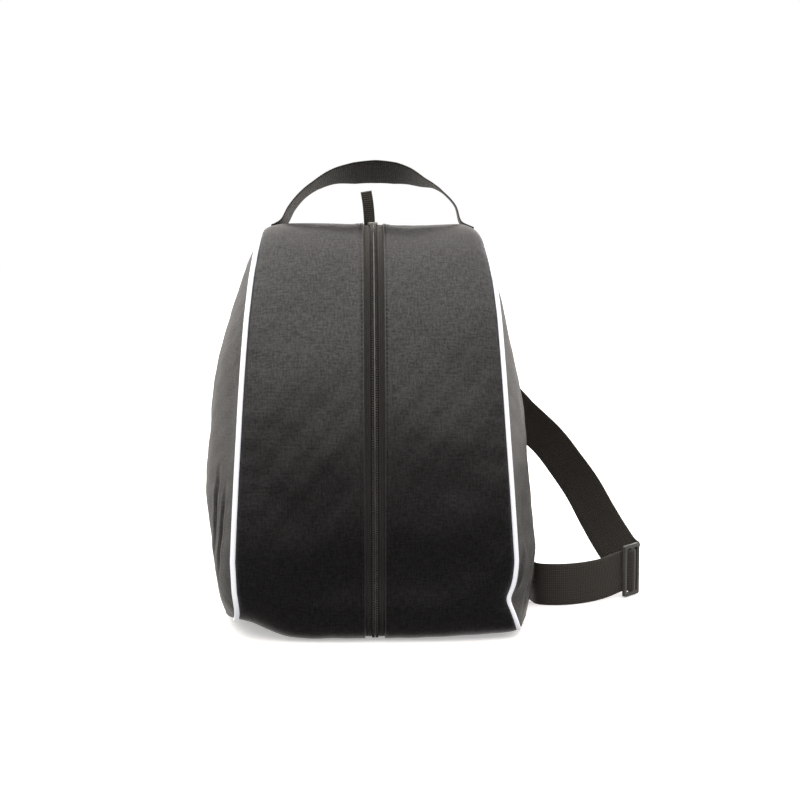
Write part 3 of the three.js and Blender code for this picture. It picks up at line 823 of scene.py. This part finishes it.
def side_surface(side, softness):
    """The surface of a side panel: u round the outline, v from its fullest place to under the piping."""
    dome = LEFT_DOME if side < 0 else RIGHT_DOME
    creases = LEFT_CREASES if side < 0 else RIGHT_CREASES

    def flat(u, v):
        point, normal = outline_frame(u)
        rim = point - normal * PIPING_COVER
        r = np.sin(v * math.pi / 2) ** 0.9
        full = np.array([(FRONT_Y + BACK_Y) / 2, BODY_HEIGHT * dome["height"]])
        return full + (rim - full) * r[:, None], r

    def surface(u, v):
        at, r = flat(u, v)
        y, z = at[:, 0], at[:, 1]
        bulge = dome["bulge"] * np.maximum(0, 1 - r**2) ** dome["power"]
        rim_distance = (1 - r) * PANEL_REACH
        run = u * OUTLINE_LENGTH
        tidy = np.stack([0 * y, y, z], -1)
        calm = smooth_step(rim_distance / 22)
        relief = seam_relief(rim_distance, run, SEEDS["side_seam"] + side)
        relief += softness * crease_relief(y, z, creases) * calm
        uneven = 0.9 * swell(tidy, 80.0, SEEDS["side_swell"] + side)
        uneven += 0.2 * swell(tidy, 24.0, SEEDS["side_ripple"])
        relief += softness * uneven * calm
        x = half_width(y, z) + bulge + relief
        return slump(np.stack([side * x, y, z], -1))

    def pattern(u, v):
        return flat(u, v)[0]

    return surface, pattern


class BAG_OT_side_panels(bpy.types.Operator):
    """Fills the D on each side with a domed, softly creased panel"""

    bl_idname = "bag.side_panels"
    bl_label = "Side panels"

    def execute(self, context):
        softness = context.scene.bag_sizes.softness
        for word, side in SIDES:
            cloth = side_surface(side, softness)
            sheet(
                f"side_panel_{word}",
                "side_cloth",
                cloth,
                SIDE_GRID,
                outwards=lambda centre, side=side: Vector((side, 0, 0)),
            )
        return {"FINISHED"}


# Piping

PIPING_GRID = (400, 16)
PIPING_SHORT = 7.0  # how far the right cord ends above its corner
PULLED_IN = {-1: 0.94, 1: 0.84}  # how much of the cord's thickness shows on each side


def piping_surface(side):
    """A cord round the side seam: u along it, v round it, closing to a point at both ends."""
    start = share_of(PIPING_RADIUS + (PIPING_SHORT if side > 0 else 0))
    end = HEEL_AT - share_of(PIPING_RADIUS)

    def surface(u, v):
        s = start + (end - start) * u
        _, normal = outline_frame(s)
        at = skin(s, side + 0 * s, 0.0)
        turn = 2 * math.pi * v
        close = np.minimum(np.minimum(u, 1 - u) * PIPING_GRID[0], 1)
        radius = PIPING_RADIUS * PULLED_IN[side] * np.sqrt(1 - (1 - close) ** 2)
        at[:, 0] += radius * np.cos(turn)
        at[:, 1] += radius * np.sin(turn) * normal[:, 0]
        at[:, 2] += radius * np.sin(turn) * normal[:, 1]
        return at

    def pattern(u, v):
        s = start + (end - start) * u
        return np.stack([v * 2 * math.pi * PIPING_RADIUS, s * OUTLINE_LENGTH], -1)

    return surface, pattern


class BAG_OT_piping(bpy.types.Operator):
    """Runs the cord piping along both side seams"""

    bl_idname = "bag.piping"
    bl_label = "Piping"

    def execute(self, context):
        for word, side in SIDES:
            surface, pattern = piping_surface(side)
            bm = cloth_grid(surface, pattern, *PIPING_GRID)
            close_seams(bm)
            finished(bm, f"bag_piping_{word}", "piping", (f"piping_{word}",))
        return {"FINISHED"}


# The zip

TAPE_INSET = WALL + SEAM_GAP
# Ribs woven into the tape: distance from the zip's middle, height and width
TAPE_RIBS = ((4.6, 1.0, 0.6), (6.3, 0.9, 0.45), (7.6, 0.6, 0.4))
CORD_RADIUS = 0.75  # of the closed coil's raised middle
THREAD_RADIUS = 0.42
TAPE_GAP = 0.15  # from the zip's middle to each tape
COIL_STARTS = 2.0  # above the toe seam
COIL_LIFT = 0.2  # of the coil's middle over the tape
TOOTH_TURN = 0.1  # radians, of each tooth towards the slider
TAPE_GRID = (160, 64)
CORD_GRID = (300, 12)


class BAG_OT_zip(bpy.types.Operator):
    """Lays the zip: two woven tapes, the closed coil and the sewing threads beside it"""

    bl_idname = "bag.zip"
    bl_label = "Zip"

    def execute(self, context):
        end = share_of(SEAM_GAP)
        for word, side in SIDES:

            def place(u, v, side=side):
                s = end + (TOP_SEAM_AT - 2 * end) * u
                x = TAPE_GAP + (TAPE_WIDTH - TAPE_GAP) * v
                ribs = sum(high * np.exp(-(((x - at) / wide) ** 2)) for at, high, wide in TAPE_RIBS)
                return s, side * x / seam_x(s), ribs - TAPE_INSET

            sheet(f"zip_tape_{word}", "tape", laid(place), TAPE_GRID, TAPE_THICKNESS)

        sizes = context.scene.bag_sizes
        pitch = sizes.tooth_pitch / MM
        count = int((ZIP_TOP_AT * OUTLINE_LENGTH - COIL_STARTS - 1) / pitch)
        lift = COIL_THICKNESS / 2 - TAPE_INSET + COIL_LIFT
        places = []
        for i in range(count):
            for _, side in SIDES:
                run = COIL_STARTS + pitch * (i + 0.5 - side / 4)
                seat = skin_seat(share_of(run), side * COIL_WIDTH / 4, lift)
                places.append(seat @ Matrix.Rotation(side * TOOTH_TURN, 4, "Z"))
        tooth = Vector((COIL_WIDTH / 4.4, pitch * 0.32, COIL_THICKNESS / 2)) * MM
        finished(beads(tooth, 6, places), "bag_zip_coil", "coil", ("zip_chain",))

        def cord(u, v):
            s = end + (ZIP_TOP_AT - 3 * end) * u
            turn = 2 * math.pi * v
            x = CORD_RADIUS * np.cos(turn)
            lift = COIL_THICKNESS - TAPE_INSET + CORD_RADIUS * np.sin(turn)
            return skin(s, x / seam_x(s), lift)

        bm = cloth_grid(cord, lambda u, v: np.stack([v, u], -1), *CORD_GRID)
        close_seams(bm)
        finished(bm, "bag_zip_cord", "cord")

        step = (sizes.stitch_length + sizes.stitch_gap) / MM
        line = ZIP_OPENING / 2 + TOPSTITCH_IN
        lift = float(fold_relief(np.array([TOPSTITCH_IN]))[0]) + THREAD_RADIUS / 2
        runs = np.arange(HEM_STARTS / 2, TOP_SEAM_AT * OUTLINE_LENGTH - step, step)
        places = [skin_seat(share_of(run), side * line, lift) for run in runs for _, side in SIDES]
        sewing = stitches(places, sizes.stitch_length)
        finished(sewing, "bag_zip_topstitch", "thread")
        return {"FINISHED"}


def stitches(places, length):
    """Rounded threads that lie along Y, one for each matrix."""
    return beads((THREAD_RADIUS * MM, length / 2, THREAD_RADIUS * MM), 5, places)


def skin_axes(s, x, lift):
    """Where a piece sits on the skin: its place, and its directions to the right, up the outline and
    outwards."""
    step = 0.003
    k = x / seam_x(np.array([s]))[0]

    def at(share, part, rise=0.0):
        return skin(np.array([share]), np.array([part]), rise)[0]

    up = at(s + step, k) - at(s - step, k)
    up /= np.linalg.norm(up)
    out = np.cross(at(s, k + step) - at(s, k - step), up)
    out /= np.linalg.norm(out)
    return at(s, k) + out * lift, np.cross(up, out), up, out


def skin_seat(s, x, lift):
    """The same place as a matrix in metres: X to the right, Y up the outline and Z outwards."""
    place, right, up, out = skin_axes(s, x, lift)
    turned = Matrix((right, up, out)).transposed().to_4x4()
    return Matrix.Translation(Vector(place) * MM) @ turned


# Webbing

STEPS_EACH = 24  # between two stations, before they are spaced evenly
WEBBING_STEP = 0.63  # along the webbing, a third of a rib
SELVEDGE = 0.55  # power that rounds the section's edges: a lower one is squarer
FACE = 0.35  # power that flattens its faces
RIB_HEIGHT = 0.1  # as a share of half the thickness


def catmull_rom(points, steps_each):
    """A smooth line through points, centripetal, with its tangents."""
    points = np.array(points, float)
    ends = [2 * points[0] - points[1], 2 * points[-1] - points[-2]]
    full = np.concatenate([[ends[0]], points, [ends[1]]])
    line = []
    for i in range(len(points) - 1):
        p0, p1, p2, p3 = full[i : i + 4]
        d0, d1, d2 = (np.linalg.norm(b - a) ** 0.5 for a, b in ((p0, p1), (p1, p2), (p2, p3)))
        t1 = ((p1 - p0) / d0 - (p2 - p0) / (d0 + d1) + (p2 - p1) / d1) * d1
        t2 = ((p2 - p1) / d1 - (p3 - p1) / (d1 + d2) + (p3 - p2) / d2) * d1
        last = i == len(points) - 2
        for w in np.linspace(0, 1, steps_each + 1)[: None if last else -1]:
            square, cube = 3 * (p2 - p1) - 2 * t1 - t2, 2 * (p1 - p2) + t1 + t2
            line.append(p1 + t1 * w + square * w**2 + cube * w**3)
    return np.array(line)


def webbing(stations, width, thickness):
    """Surface and pattern of a woven strap with rounded selvedges along stations of place and width."""
    line = catmull_rom([place for place, _ in stations], STEPS_EACH)
    wides = np.array([wide for _, wide in stations], float)
    at = np.linspace(0, len(stations) - 1, len(line))
    wide = np.stack([np.interp(at, np.arange(len(stations)), wides[:, i]) for i in range(3)], -1)
    run = run_lengths(line)
    even = np.linspace(0, run[-1], max(2, int(run[-1] / WEBBING_STEP)) + 1)
    line = np.stack([np.interp(even, run, line[:, i]) for i in range(3)], -1)
    wide = np.stack([np.interp(even, run, wide[:, i]) for i in range(3)], -1)
    tangent = np.gradient(line, axis=0)
    tangent /= np.linalg.norm(tangent, axis=1, keepdims=True)
    wide -= tangent * (wide * tangent).sum(1, keepdims=True)
    wide /= np.linalg.norm(wide, axis=1, keepdims=True)
    face = np.cross(tangent, wide)
    count = len(even) - 1
    pitch = bpy.context.scene.bag_sizes.rib_pitch / MM

    def section(v):
        """Across and out of a rounded flat section, v once round it."""
        turn = 2 * math.pi * v
        across = np.sign(np.cos(turn)) * np.abs(np.cos(turn)) ** SELVEDGE
        out = np.sign(np.sin(turn)) * np.abs(np.sin(turn)) ** FACE
        return across, out

    def surface(u, v):
        i = np.rint(u * count).astype(int)
        across, out = section(v)
        rib = 1 + RIB_HEIGHT * np.sin(2 * math.pi * even[i] / pitch)
        end = np.minimum(np.minimum(even[i], even[-1] - even[i]) / (thickness / 2), 1)
        across = across[:, None] * wide[i] * width / 2
        out = (out * rib * np.sqrt(1 - (1 - end) ** 2))[:, None] * face[i] * thickness / 2
        return line[i] + across + out

    def pattern(u, v):
        i = np.rint(u * count).astype(int)
        across, out = section(v)
        return np.stack([across * width / 2 + (out < 0) * width, even[i]], -1)

    return surface, pattern, count


def webbing_mesh(stations, width, thickness, around):
    surface, pattern, count = webbing(stations, width, thickness)
    bm = cloth_grid(surface, pattern, count, around)
    close_seams(bm)
    return bm


def sewn(s, x, degrees):
    """A station of webbing that lies on the skin, its width turned from straight up the outline."""
    place, right, up, _ = skin_axes(s, x, SEAM_GAP + WEBBING_THICKNESS / 2)
    turn = math.radians(degrees)
    return place, up * math.cos(turn) + right * math.sin(turn)


# The hand loop: places across half its span and up its rise, and how far the back edge of its width is
# turned to the right and down
HANDLE_STATIONS = (
    (-1.04, 0.02, 0.07, 0.24),
    (-0.97, 0.1, 0.11, 0.16),
    (-0.884, 0.34, 0.12, 0.12),
    (-0.763, 0.565, 0.11, 0.14),
    (-0.614, 0.74, 0.1, 0.2),
    (-0.402, 0.9, 0.1, 0.36),
    (-0.167, 0.96, 0.06, 0.57),
    (0.08, 0.99, 0.01, 0.63),
    (0.298, 0.968, -0.05, 0.57),
    (0.447, 0.92, -0.09, 0.41),
    (0.613, 0.81, -0.05, 0.22),
    (0.74, 0.735, 0, 0.09),
    (0.854, 0.61, 0.03, 0.03),
    (0.986, 0.38, 0.04, 0.04),
    (1.043, 0.1, 0.03, 0.1),
    (1.1, 0.02, 0.03, 0.22),
)
HANDLE_END = 0.57  # where the sewn ends stop, as a share of the span
HANDLE_TACKS = (1.6, 3.6)  # rows of bar tacks, from the sewn end
TACK_GAP = 0.4  # between two stitches of a row
ON_WEBBING = SEAM_GAP + WEBBING_THICKNESS + THREAD_RADIUS / 2


def handle_stations():
    upwards = np.array([0, math.sin(HANDLE_LEAN), math.cos(HANDLE_LEAN)])
    stations = []
    for across, rise, twist, drop in HANDLE_STATIONS:
        place, _ = sewn(HANDLE_AT, HANDLE_SHIFT + across * HANDLE_SPAN / 2, 0)
        stations.append((place + upwards * rise * HANDLE_RISE, np.array([twist, 1, -drop])))
    end = HANDLE_SPAN * HANDLE_END
    return [sewn(HANDLE_AT, -end, 0), *stations, sewn(HANDLE_AT, end, 0)]


def box_stitch(s, x, degrees, step):
    """Places on sewn-down webbing for a box with a cross in it, turned by an angle from the right."""
    corners = ((-1, -1), (1, -1), (1, 1), (-1, 1))
    ends = [Vector((i * BOX_LENGTH / 2, j * BOX_WIDTH / 2)) for i, j in corners]
    turn = Matrix.Rotation(math.radians(degrees), 2)
    places = []
    for a, b in ((0, 1), (1, 2), (2, 3), (3, 0), (0, 2), (1, 3)):
        way = ends[b] - ends[a]
        count = int(way.length / step)
        angle = math.atan2(way.y, way.x) + math.radians(degrees) - math.pi / 2
        for i in range(count):
            at = turn @ (ends[a] + way * ((i + 0.5) / count))
            seat = skin_seat(s + share_of(at.y), x + at.x, ON_WEBBING)
            places.append(seat @ Matrix.Rotation(angle, 4, "Z"))
    return places


class BAG_OT_hand_loop(bpy.types.Operator):
    """Sews the webbing hand loop on behind the crest"""

    bl_idname = "bag.hand_loop"
    bl_label = "Hand loop"

    def execute(self, context):
        bm = webbing_mesh(handle_stations(), WEBBING_WIDTH, WEBBING_THICKNESS, 40)
        finished(bm, "bag_hand_loop", "webbing", ("hand_loop",))
        length = context.scene.bag_sizes.stitch_length
        rows = np.arange(-WEBBING_WIDTH / 2 + 3, WEBBING_WIDTH / 2 - 2, length / MM + TACK_GAP)
        places = [
            skin_seat(HANDLE_AT + share_of(along), side * (HANDLE_SPAN * HANDLE_END - row), ON_WEBBING)
            for _, side in SIDES
            for row in HANDLE_TACKS
            for along in rows
        ]
        finished(stitches(places, length), "bag_hand_loop_tacks", "thread")
        return {"FINISHED"}


GLIDE_CLEARANCE = 1.2  # above the floor
GLIDE_PLACE = np.array([LOW_HALF_WIDTH * 2.096, BODY_DEPTH * 0.252, GLIDE_LENGTH / 2 + GLIDE_CLEARANCE])
GLIDE_ALONG = np.array([math.cos(GLIDE_TURN), math.sin(GLIDE_TURN), 0.0])
GLIDE_UP = np.array([0.0, 0.0, 1.0])
GLIDE_OUT = np.cross(GLIDE_ALONG, GLIDE_UP)

# The shoulder strap's free stretches, in shares: x of half the body's width and y of its depth. The upper
# run has z in shares of the body's height, from the glide's middle, and the way of the webbing's width. The
# lower run stands on its edge, and has z in shares of the webbing's width.
UPPER_RUN = (
    ((1.002, 0.5051, 0.4675), (0.68, -0.1, 0.7)),
    ((1.23, 0.5072, 0.3955), (0.62, -0.4, 0.62)),
    ((1.47, 0.4904, 0.3215), (0.64, -0.45, 0.6)),
    ((1.604, 0.4708, 0.2645), (0.68, -0.45, 0.55)),
    ((1.744, 0.4484, 0.1985), (0.74, -0.4, 0.52)),
    ((1.862, 0.4203, 0.1275), (0.78, -0.35, 0.5)),
    ((1.965, 0.3965, 0.0695), (0.75, -0.25, 0.6)),
    ((2.054, 0.3755, 0.0275), (0.6, -0.15, 0.75)),
    ((2.117, 0.3587, 0.0125), (0.4, -0.05, 0.9)),
    ((2.154, 0.3335, 0.0055), (0.1, 0, 1)),
)
LOWER_RUN = (
    (1.838, 0.1653, 0.56),
    (1.653, 0.1205, 0.52),
    (1.467, 0.0981, 0.515),
    (1.309, 0.1163, 0.515),
    (1.261, 0.1822, 0.533),
    (1.224, 0.2802, 0.596),
    (1.17, 0.3923, 0.741),
    (1.081, 0.496, 0.949),
)
GLIDE_WEAVE = GLIDE_THICKNESS / 2 + WEBBING_THICKNESS / 2 + SEAM_GAP + 0.15
# How the strap weaves through the glide: places along it and out of its plane
THROUGH_GLIDE = (
    (0.56, -1.8),
    (0.44, -1.1),
    (0.34, -0.9),
    (0.09, 1),
    (-0.09, 1),
    (-0.34, -0.9),
    (-0.44, -1.1),
    (-0.56, -1.2),
)


def back_at(height):
    return share_after_crest(lambda point: point[:, 1] <= height * BODY_HEIGHT)


# Its two ends lie on the back. Shares of the body's height, and of the webbing's width from the middle
UPPER_END = ((0.79, 0.3), (0.75, 0.75), (0.71, 1.2), (0.67, 1.65), (0.63, 2.1))
LOWER_END = ((0.135, 2.35), (0.15, 1.7), (0.16, 1.1))


def strap_stations():
    upper_end, lower_end = (
        [sewn(back_at(height), WEBBING_WIDTH * out, degrees) for height, out in end]
        for end, degrees in ((UPPER_END, 135), (LOWER_END, 180))
    )
    woven = [
        (GLIDE_PLACE + GLIDE_ALONG * along * GLIDE_WIDTH + GLIDE_OUT * out * GLIDE_WEAVE, GLIDE_UP)
        for along, out in THROUGH_GLIDE
    ]
    size = np.array([LOW_HALF_WIDTH, BODY_DEPTH, BODY_HEIGHT])
    upper = [(place * size + (0, 0, GLIDE_PLACE[2]), np.array(wide)) for place, wide in UPPER_RUN]
    size = np.array([LOW_HALF_WIDTH, BODY_DEPTH, WEBBING_WIDTH])
    lower = [(place * size, GLIDE_UP) for place in LOWER_RUN]
    return [*upper_end, *upper, *woven, *lower, *lower_end]


# Where the strap's two ends are sewn down: height as a share, distance across, and the way it runs
STRAP_BOXES = ((0.772, 26.0, 45.0), (0.155, 60.0, 8.0))
BOX_LENGTH = 24.0
BOX_WIDTH = WEBBING_WIDTH - 10


class BAG_OT_shoulder_strap(bpy.types.Operator):
    """Runs the shoulder strap from the back, through the glide and along the floor"""

    bl_idname = "bag.shoulder_strap"
    bl_label = "Shoulder strap"

    def execute(self, context):
        bm = webbing_mesh(strap_stations(), WEBBING_WIDTH, WEBBING_THICKNESS, 36)
        finished(bm, "bag_shoulder_strap", "webbing", ("shoulder_strap",))
        sizes = context.scene.bag_sizes
        step = (sizes.stitch_length + sizes.stitch_gap) / MM
        places = []
        for height, x, degrees in STRAP_BOXES:
            places += box_stitch(back_at(height), x, degrees, step)
        sewing = stitches(places, sizes.stitch_length)
        finished(sewing, "bag_strap_stitching", "thread")
        return {"FINISHED"}


def softened_copy(node, offset, segments):
    """A bmesh of a CAD node with its flat faces whole and its sharp edges rounded."""
    bm = bmesh.new()
    bm.from_mesh(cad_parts[node].data)
    bmesh.ops.remove_doubles(bm, verts=bm.verts, dist=MERGE_DISTANCE)
    bmesh.ops.dissolve_limit(bm, angle_limit=math.radians(1), verts=bm.verts, edges=bm.edges)
    sharp = [edge for edge in bm.edges if edge.is_manifold and edge.calc_face_angle() > math.radians(40)]
    bmesh.ops.bevel(
        bm,
        geom=sharp,
        offset=offset * MM,
        segments=segments,
        profile=0.5,
        affect="EDGES",
        material=-1,
        clamp_overlap=True,
    )
    return bm


# The pull's places from its foot on the slider, in shares of its length
PULL_RUN = ((-0.105, 0.27, -0.1), (-0.12, 0.17, 0.2), (-0.16, 0.08, 0.62), (-0.22, 0.04, 1))


class BAG_OT_hardware(bpy.types.Operator):
    """Makes the strap's glide, the zip's slider and its folded pull"""

    bl_idname = "bag.hardware"
    bl_label = "Glide, slider and pull"

    def execute(self, context):
        glide = softened_copy("strap_slider", 0.8, 4)
        finished(glide, "bag_strap_glide", "glide", ("strap_slider",))

        slider = softened_copy("zip_slider", 0.7, 3)
        finished(slider, "bag_zip_slider", "zinc", ("zip_slider",))

        s = ZIP_TOP_AT + share_of(SLIDER_LENGTH / 2)
        foot, _, _, out = skin_axes(s, 0, SEAM_GAP - TAPE_INSET)
        foot = foot + out * (SLIDER_HEIGHT + SEAM_GAP)
        stations = [(foot + np.array(row) * PULL_LENGTH, np.array([1, 0, 0.08])) for row in PULL_RUN]
        bm = webbing_mesh(stations, PULL_WIDTH, PULL_THICKNESS, 24)
        finished(bm, "bag_zip_pull", "webbing", ("zip_pull",))
        return {"FINISHED"}


# The stage

AIM = Vector((24.5, 0.0, 200.0)) * MM
CAMERA_DISTANCE = 1.8
CAMERA_AZIMUTH = math.radians(-1.5)
CAMERA_ELEVATION = math.radians(7.0)
LENS = 88.07
SENSOR = 36.0
FLOOR_RADIUS = 6.0
SOFTBOX_PLACE = (1.5, 0.1, 0.6)
SOFTBOX_AIM = Vector((0.0, 0.0, 0.2))
SOFTBOX_SIZE = (0.9, 1.2)


def studio_room(light):
    """The room's light, by direction: a bright ceiling whose front edge is low over the camera, a white
    sweep behind and a dark front. The eye sees it white."""
    world = bpy.data.worlds.new("studio_room")
    world.use_nodes = True
    world.node_tree.nodes.clear()
    way = add(world, "ShaderNodeTexCoord").outputs["Generated"]
    x, y, z = add(world, "ShaderNodeSeparateXYZ", {"Vector": way}).outputs

    def soft(value, low, high, start, end):
        return ranged(world, value, low, high, start, end, interpolation_type="SMOOTHSTEP")

    edge = soft(z, 0.1, 0.23, 0.0, light.front_sky)
    edge = maths(world, "MULTIPLY", edge, ranged(world, x, -0.4, 0.4, 1.12, 0.8))
    zenith = ranged(world, z, 0.24, 0.78, 0.0, light.ceiling - light.front_sky)
    above = maths(world, "ADD", edge, zenith)
    above = maths(world, "MULTIPLY", above, ranged(world, y, 0.05, 0.7, 1.0, 0.65))
    behind = soft(y, 0.1, 0.7, 0.0, light.back_wall)
    sweep = maths(world, "MULTIPLY", behind, soft(z, -0.35, 0.15, 0.6, 1.0))
    below = soft(z, -0.3, -0.6, 0.0, light.floor_glow)
    brightest = maths(world, "MAXIMUM", maths(world, "MAXIMUM", above, sweep), below)
    total = maths(world, "ADD", brightest, light.room)
    lit = add(world, "ShaderNodeBackground", {"Color": linear("fffaf5"), "Strength": total})
    seen = add(world, "ShaderNodeBackground", {"Color": linear("ffffff"), "Strength": 1.0})
    ray = add(world, "ShaderNodeLightPath").outputs["Is Camera Ray"]
    both = add(world, "ShaderNodeMixShader", {0: ray, 1: lit.outputs[0], 2: seen.outputs[0]})
    add(world, "ShaderNodeOutputWorld", {"Surface": both.outputs[0]})
    return world


class BAG_OT_stage(bpy.types.Operator):
    """Sets the pale floor, the softboxes and the camera"""

    bl_idname = "bag.stage"
    bl_label = "Stage"

    def execute(self, context):
        scene = context.scene
        light = scene.bag_light
        bm = bmesh.new()
        bmesh.ops.create_circle(bm, cap_ends=True, radius=FLOOR_RADIUS, segments=96)
        floor = finished(bm, "studio_floor", "floor", stage=True)
        floor.visible_diffuse = False
        floor.visible_glossy = False

        for word, side in SIDES:
            self.softbox(f"softbox_{word}", side, light.side)
        scene.world = studio_room(light)
        scene.view_settings.view_transform = "Standard"

        back = Vector(
            (
                math.sin(CAMERA_AZIMUTH) * math.cos(CAMERA_ELEVATION),
                -math.cos(CAMERA_AZIMUTH) * math.cos(CAMERA_ELEVATION),
                math.sin(CAMERA_ELEVATION),
            )
        )
        camera = bpy.data.objects.new("camera", bpy.data.cameras.new("camera"))
        scene.collection.objects.link(camera)
        camera.data.sensor_width = SENSOR
        camera.data.lens = LENS
        camera.location = AIM + back * CAMERA_DISTANCE
        camera.rotation_mode = "QUATERNION"
        camera.rotation_quaternion = (-back).to_track_quat("-Z", "Y")
        scene.camera = camera
        return {"FINISHED"}

    def softbox(self, name, side, power):
        """A soft rectangular lamp at one side of the bag that looks at its middle."""
        lamp = bpy.data.lights.new(name, "AREA")
        lamp.shape = "RECTANGLE"
        lamp.size, lamp.size_y = SOFTBOX_SIZE
        lamp.energy = power
        holder = bpy.data.objects.new(name, lamp)
        bpy.context.scene.collection.objects.link(holder)
        holder.location = (side * SOFTBOX_PLACE[0], *SOFTBOX_PLACE[1:])
        holder.rotation_mode = "QUATERNION"
        holder.rotation_quaternion = (SOFTBOX_AIM - holder.location).to_track_quat("-Z", "Y")


GROUPS = (("bag_sizes", BagSizes), ("bag_colours", BagColours), ("bag_light", BagLight))
STEPS = (
    BAG_OT_band,
    BAG_OT_back_and_base,
    BAG_OT_side_panels,
    BAG_OT_piping,
    BAG_OT_zip,
    BAG_OT_hand_loop,
    BAG_OT_shoulder_strap,
    BAG_OT_hardware,
    BAG_OT_stage,
)


class BAG_PT_pieces(bpy.types.Panel):
    """Lists the sizes, colours and pieces of the helmet bag"""

    bl_idname = "BAG_PT_pieces"
    bl_label = "Helmet bag"
    bl_space_type = "VIEW_3D"
    bl_region_type = "UI"
    bl_category = "Helmet bag"

    def draw(self, context):
        layout = self.layout
        for name, group in GROUPS:
            for field in group.__annotations__:
                layout.prop(getattr(context.scene, name), field)
        for step in STEPS:
            layout.operator(step.bl_idname)


CLASSES = (*(group for _, group in GROUPS), *STEPS, BAG_PT_pieces)


def register():
    for each in CLASSES:
        bpy.utils.register_class(each)
    for name, group in GROUPS:
        setattr(bpy.types.Scene, name, PointerProperty(type=group))


def unregister():
    for name, _ in GROUPS:
        delattr(bpy.types.Scene, name)
    for each in reversed(CLASSES):
        bpy.utils.unregister_class(each)


def main():
    register()
    for step in STEPS:
        group, name = step.bl_idname.split(".")
        getattr(getattr(bpy.ops, group), name)()


if __name__ == "__main__":
    main()
